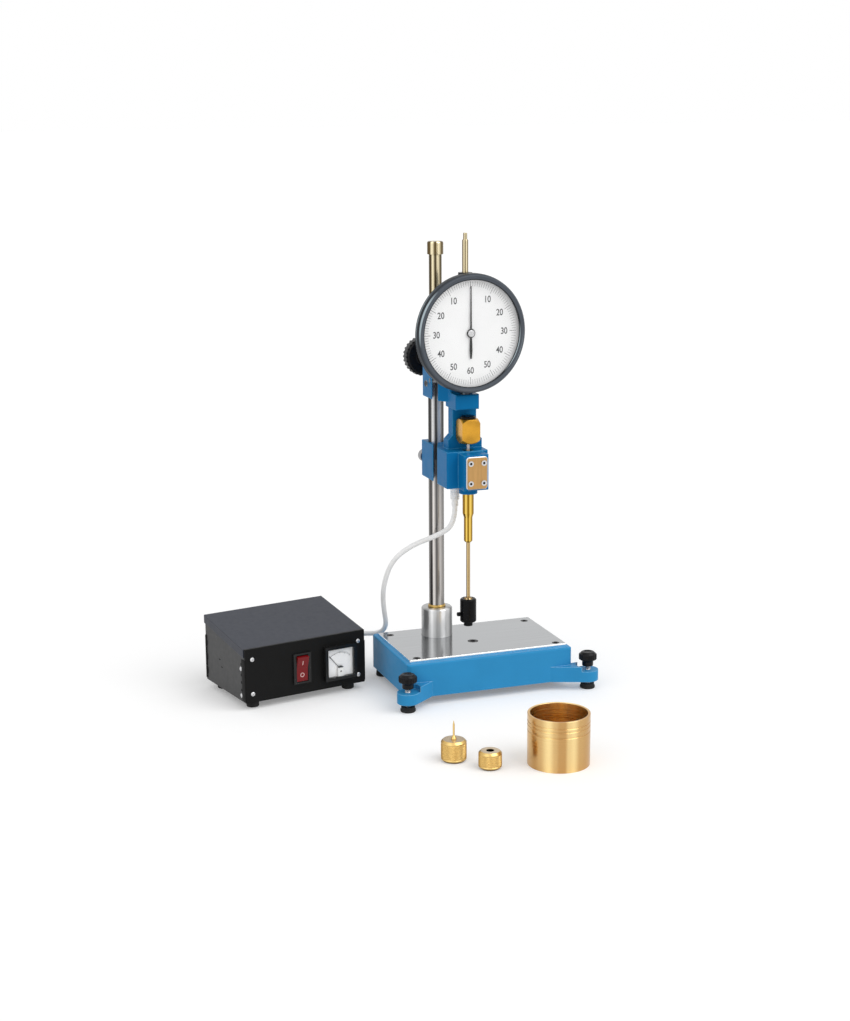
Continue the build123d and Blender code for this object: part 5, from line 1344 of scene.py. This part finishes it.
class PENETROMETER_OT_stage(bpy.types.Operator):
    """Camera, white floor and soft studio light"""
    bl_idname = "penetrometer.stage"
    bl_label = "Stage"

    def execute(self, context):
        use = context.scene.penetrometer_stage
        context.scene.view_settings.view_transform = "Standard"
        context.scene.camera = self.camera()
        context.scene.world = self.world(use.ambient)
        self.floor(use.glow)
        self.lamp("key", use.key, (0.55, -0.62, 0.95), 50.0)
        self.lamp("fill", use.fill, (-0.9, -0.55, 0.7), 60.0)
        return {"FINISHED"}

    def camera(self):
        """Camera at the photograph's viewpoint."""
        az, el, roll = (math.radians(angle) for angle in (VIEW_AZIMUTH, VIEW_ELEVATION, VIEW_ROLL))
        right = Vector((math.cos(az), math.sin(az), 0.0))
        back = Vector((math.sin(az) * math.cos(el), -math.cos(az) * math.cos(el), math.sin(el)))
        side = right * math.cos(roll) + back.cross(right) * math.sin(roll)
        data = bpy.data.cameras.new("view")
        data.sensor_fit = "VERTICAL"
        data.sensor_height = SENSOR
        data.lens = FOCAL_PX * SENSOR / FRAME_H
        data.clip_end = 50.0
        camera = linked("view", data)
        eye = Vector(VIEW_TARGET) + back * VIEW_DISTANCE
        camera.matrix_world = at(*eye) @ Matrix((side, back.cross(side), back)).transposed().to_4x4()
        return camera

    def seen(self, tree):
        """Light Path value that is 1 for camera, glossy and transmission rays."""
        path = add_node(tree, "ShaderNodeLightPath").outputs
        total = path["Is Camera Ray"]
        for name in ("Is Glossy Ray", "Is Transmission Ray"):
            total = add_node(tree, "ShaderNodeMath", total, path[name], operation="MAXIMUM").outputs[0]
        return total

    def world(self, ambient):
        """White surround that lights the object at a plain level."""
        world = bpy.data.worlds.new("white_surround")
        world.use_nodes = True
        tree = world.node_tree
        level = add_node(tree, "ShaderNodeMapRange", self.seen(tree), 0.0, 1.0, ambient, 1.0)
        sky = tree.nodes["Background"].inputs
        give(tree, sky["Color"], (1.0, 1.0, 1.0))
        give(tree, sky["Strength"], level.outputs["Result"])
        return world

    def floor(self, glow):
        """White floor that keeps the object's shadow."""
        reach = 30.0
        level = BOX_PLACE[2] * MM
        mesh = bpy.data.meshes.new("floor")
        corners = [(x * reach, y * reach, level) for x, y in ((-1, -1), (1, -1), (1, 1), (-1, 1))]
        mesh.from_pydata(corners, [], [(0, 1, 2, 3)])
        material = bpy.data.materials.new("white_floor")
        material.use_nodes = True
        tree = material.node_tree
        tree.nodes.remove(tree.nodes["Principled BSDF"])
        strength = add_node(tree, "ShaderNodeMath", self.seen(tree), glow, operation="MULTIPLY").outputs[0]
        matt = add_node(tree, "ShaderNodeBsdfDiffuse", (0.82, 0.82, 0.82)).outputs[0]
        shine = add_node(tree, "ShaderNodeEmission", Strength=strength).outputs[0]
        both = add_node(tree, "ShaderNodeAddShader", matt, shine).outputs[0]
        give(tree, tree.nodes["Material Output"].inputs["Surface"], both)
        mesh.materials.append(material)
        linked("floor", mesh)

    def lamp(self, name, strength, towards, spread):
        """Broad soft light from a direction, its spread in degrees."""
        data = bpy.data.lights.new(name, "SUN")
        data.energy = strength
        data.angle = math.radians(spread)
        linked(name, data).rotation_euler = Vector(towards).to_track_quat("Z", "Y").to_euler()


class PENETROMETER_PT_pieces(bpy.types.Panel):
    """Lists the pieces and the sizes and colours behind them"""
    bl_idname = "PENETROMETER_PT_pieces"
    bl_label = "Penetrometer"
    bl_space_type = "VIEW_3D"
    bl_region_type = "UI"
    bl_category = "Penetrometer"

    def draw(self, context):
        for operator in OPERATORS:
            self.layout.operator(operator.bl_idname)
        for group, kind in GROUPS.items():
            column = self.layout.column(align=True)
            for name in kind.__annotations__:
                column.prop(getattr(context.scene, group), name)


GROUPS = {
    "penetrometer_finishes": PenetrometerFinishes,
    "penetrometer_dial": PenetrometerDial,
    "penetrometer_grips": PenetrometerGrips,
    "penetrometer_stage": PenetrometerStage,
}
OPERATORS = (
    PENETROMETER_OT_stage, PENETROMETER_OT_lead, PENETROMETER_OT_base, PENETROMETER_OT_levelling,
    PENETROMETER_OT_column, PENETROMETER_OT_head, PENETROMETER_OT_release, PENETROMETER_OT_plunger,
    PENETROMETER_OT_gauge, PENETROMETER_OT_controller, PENETROMETER_OT_switch, PENETROMETER_OT_meter,
    PENETROMETER_OT_loose,
)


def register():
    """Register the classes and hang the settings on the scene."""
    for group, kind in GROUPS.items():
        bpy.utils.register_class(kind)
        setattr(bpy.types.Scene, group, PointerProperty(type=kind))
    for kind in (*OPERATORS, PENETROMETER_PT_pieces):
        bpy.utils.register_class(kind)


def unregister():
    """Undo register."""
    for kind in (PENETROMETER_PT_pieces, *reversed(OPERATORS)):
        bpy.utils.unregister_class(kind)
    for group, kind in GROUPS.items():
        delattr(bpy.types.Scene, group)
        bpy.utils.unregister_class(kind)


def main():
    """Make every piece in order."""
    register()
    make_finishes(bpy.context.scene.penetrometer_finishes)
    bpy.ops.penetrometer.stage()
    bpy.ops.penetrometer.lead()
    bpy.ops.penetrometer.base()
    bpy.ops.penetrometer.levelling()
    bpy.ops.penetrometer.column()
    bpy.ops.penetrometer.head()
    bpy.ops.penetrometer.release()
    bpy.ops.penetrometer.plunger()
    bpy.ops.penetrometer.gauge()
    bpy.ops.penetrometer.controller()
    bpy.ops.penetrometer.switch()
    bpy.ops.penetrometer.meter()
    bpy.ops.penetrometer.loose()


if __name__ == "__main__":
    main()
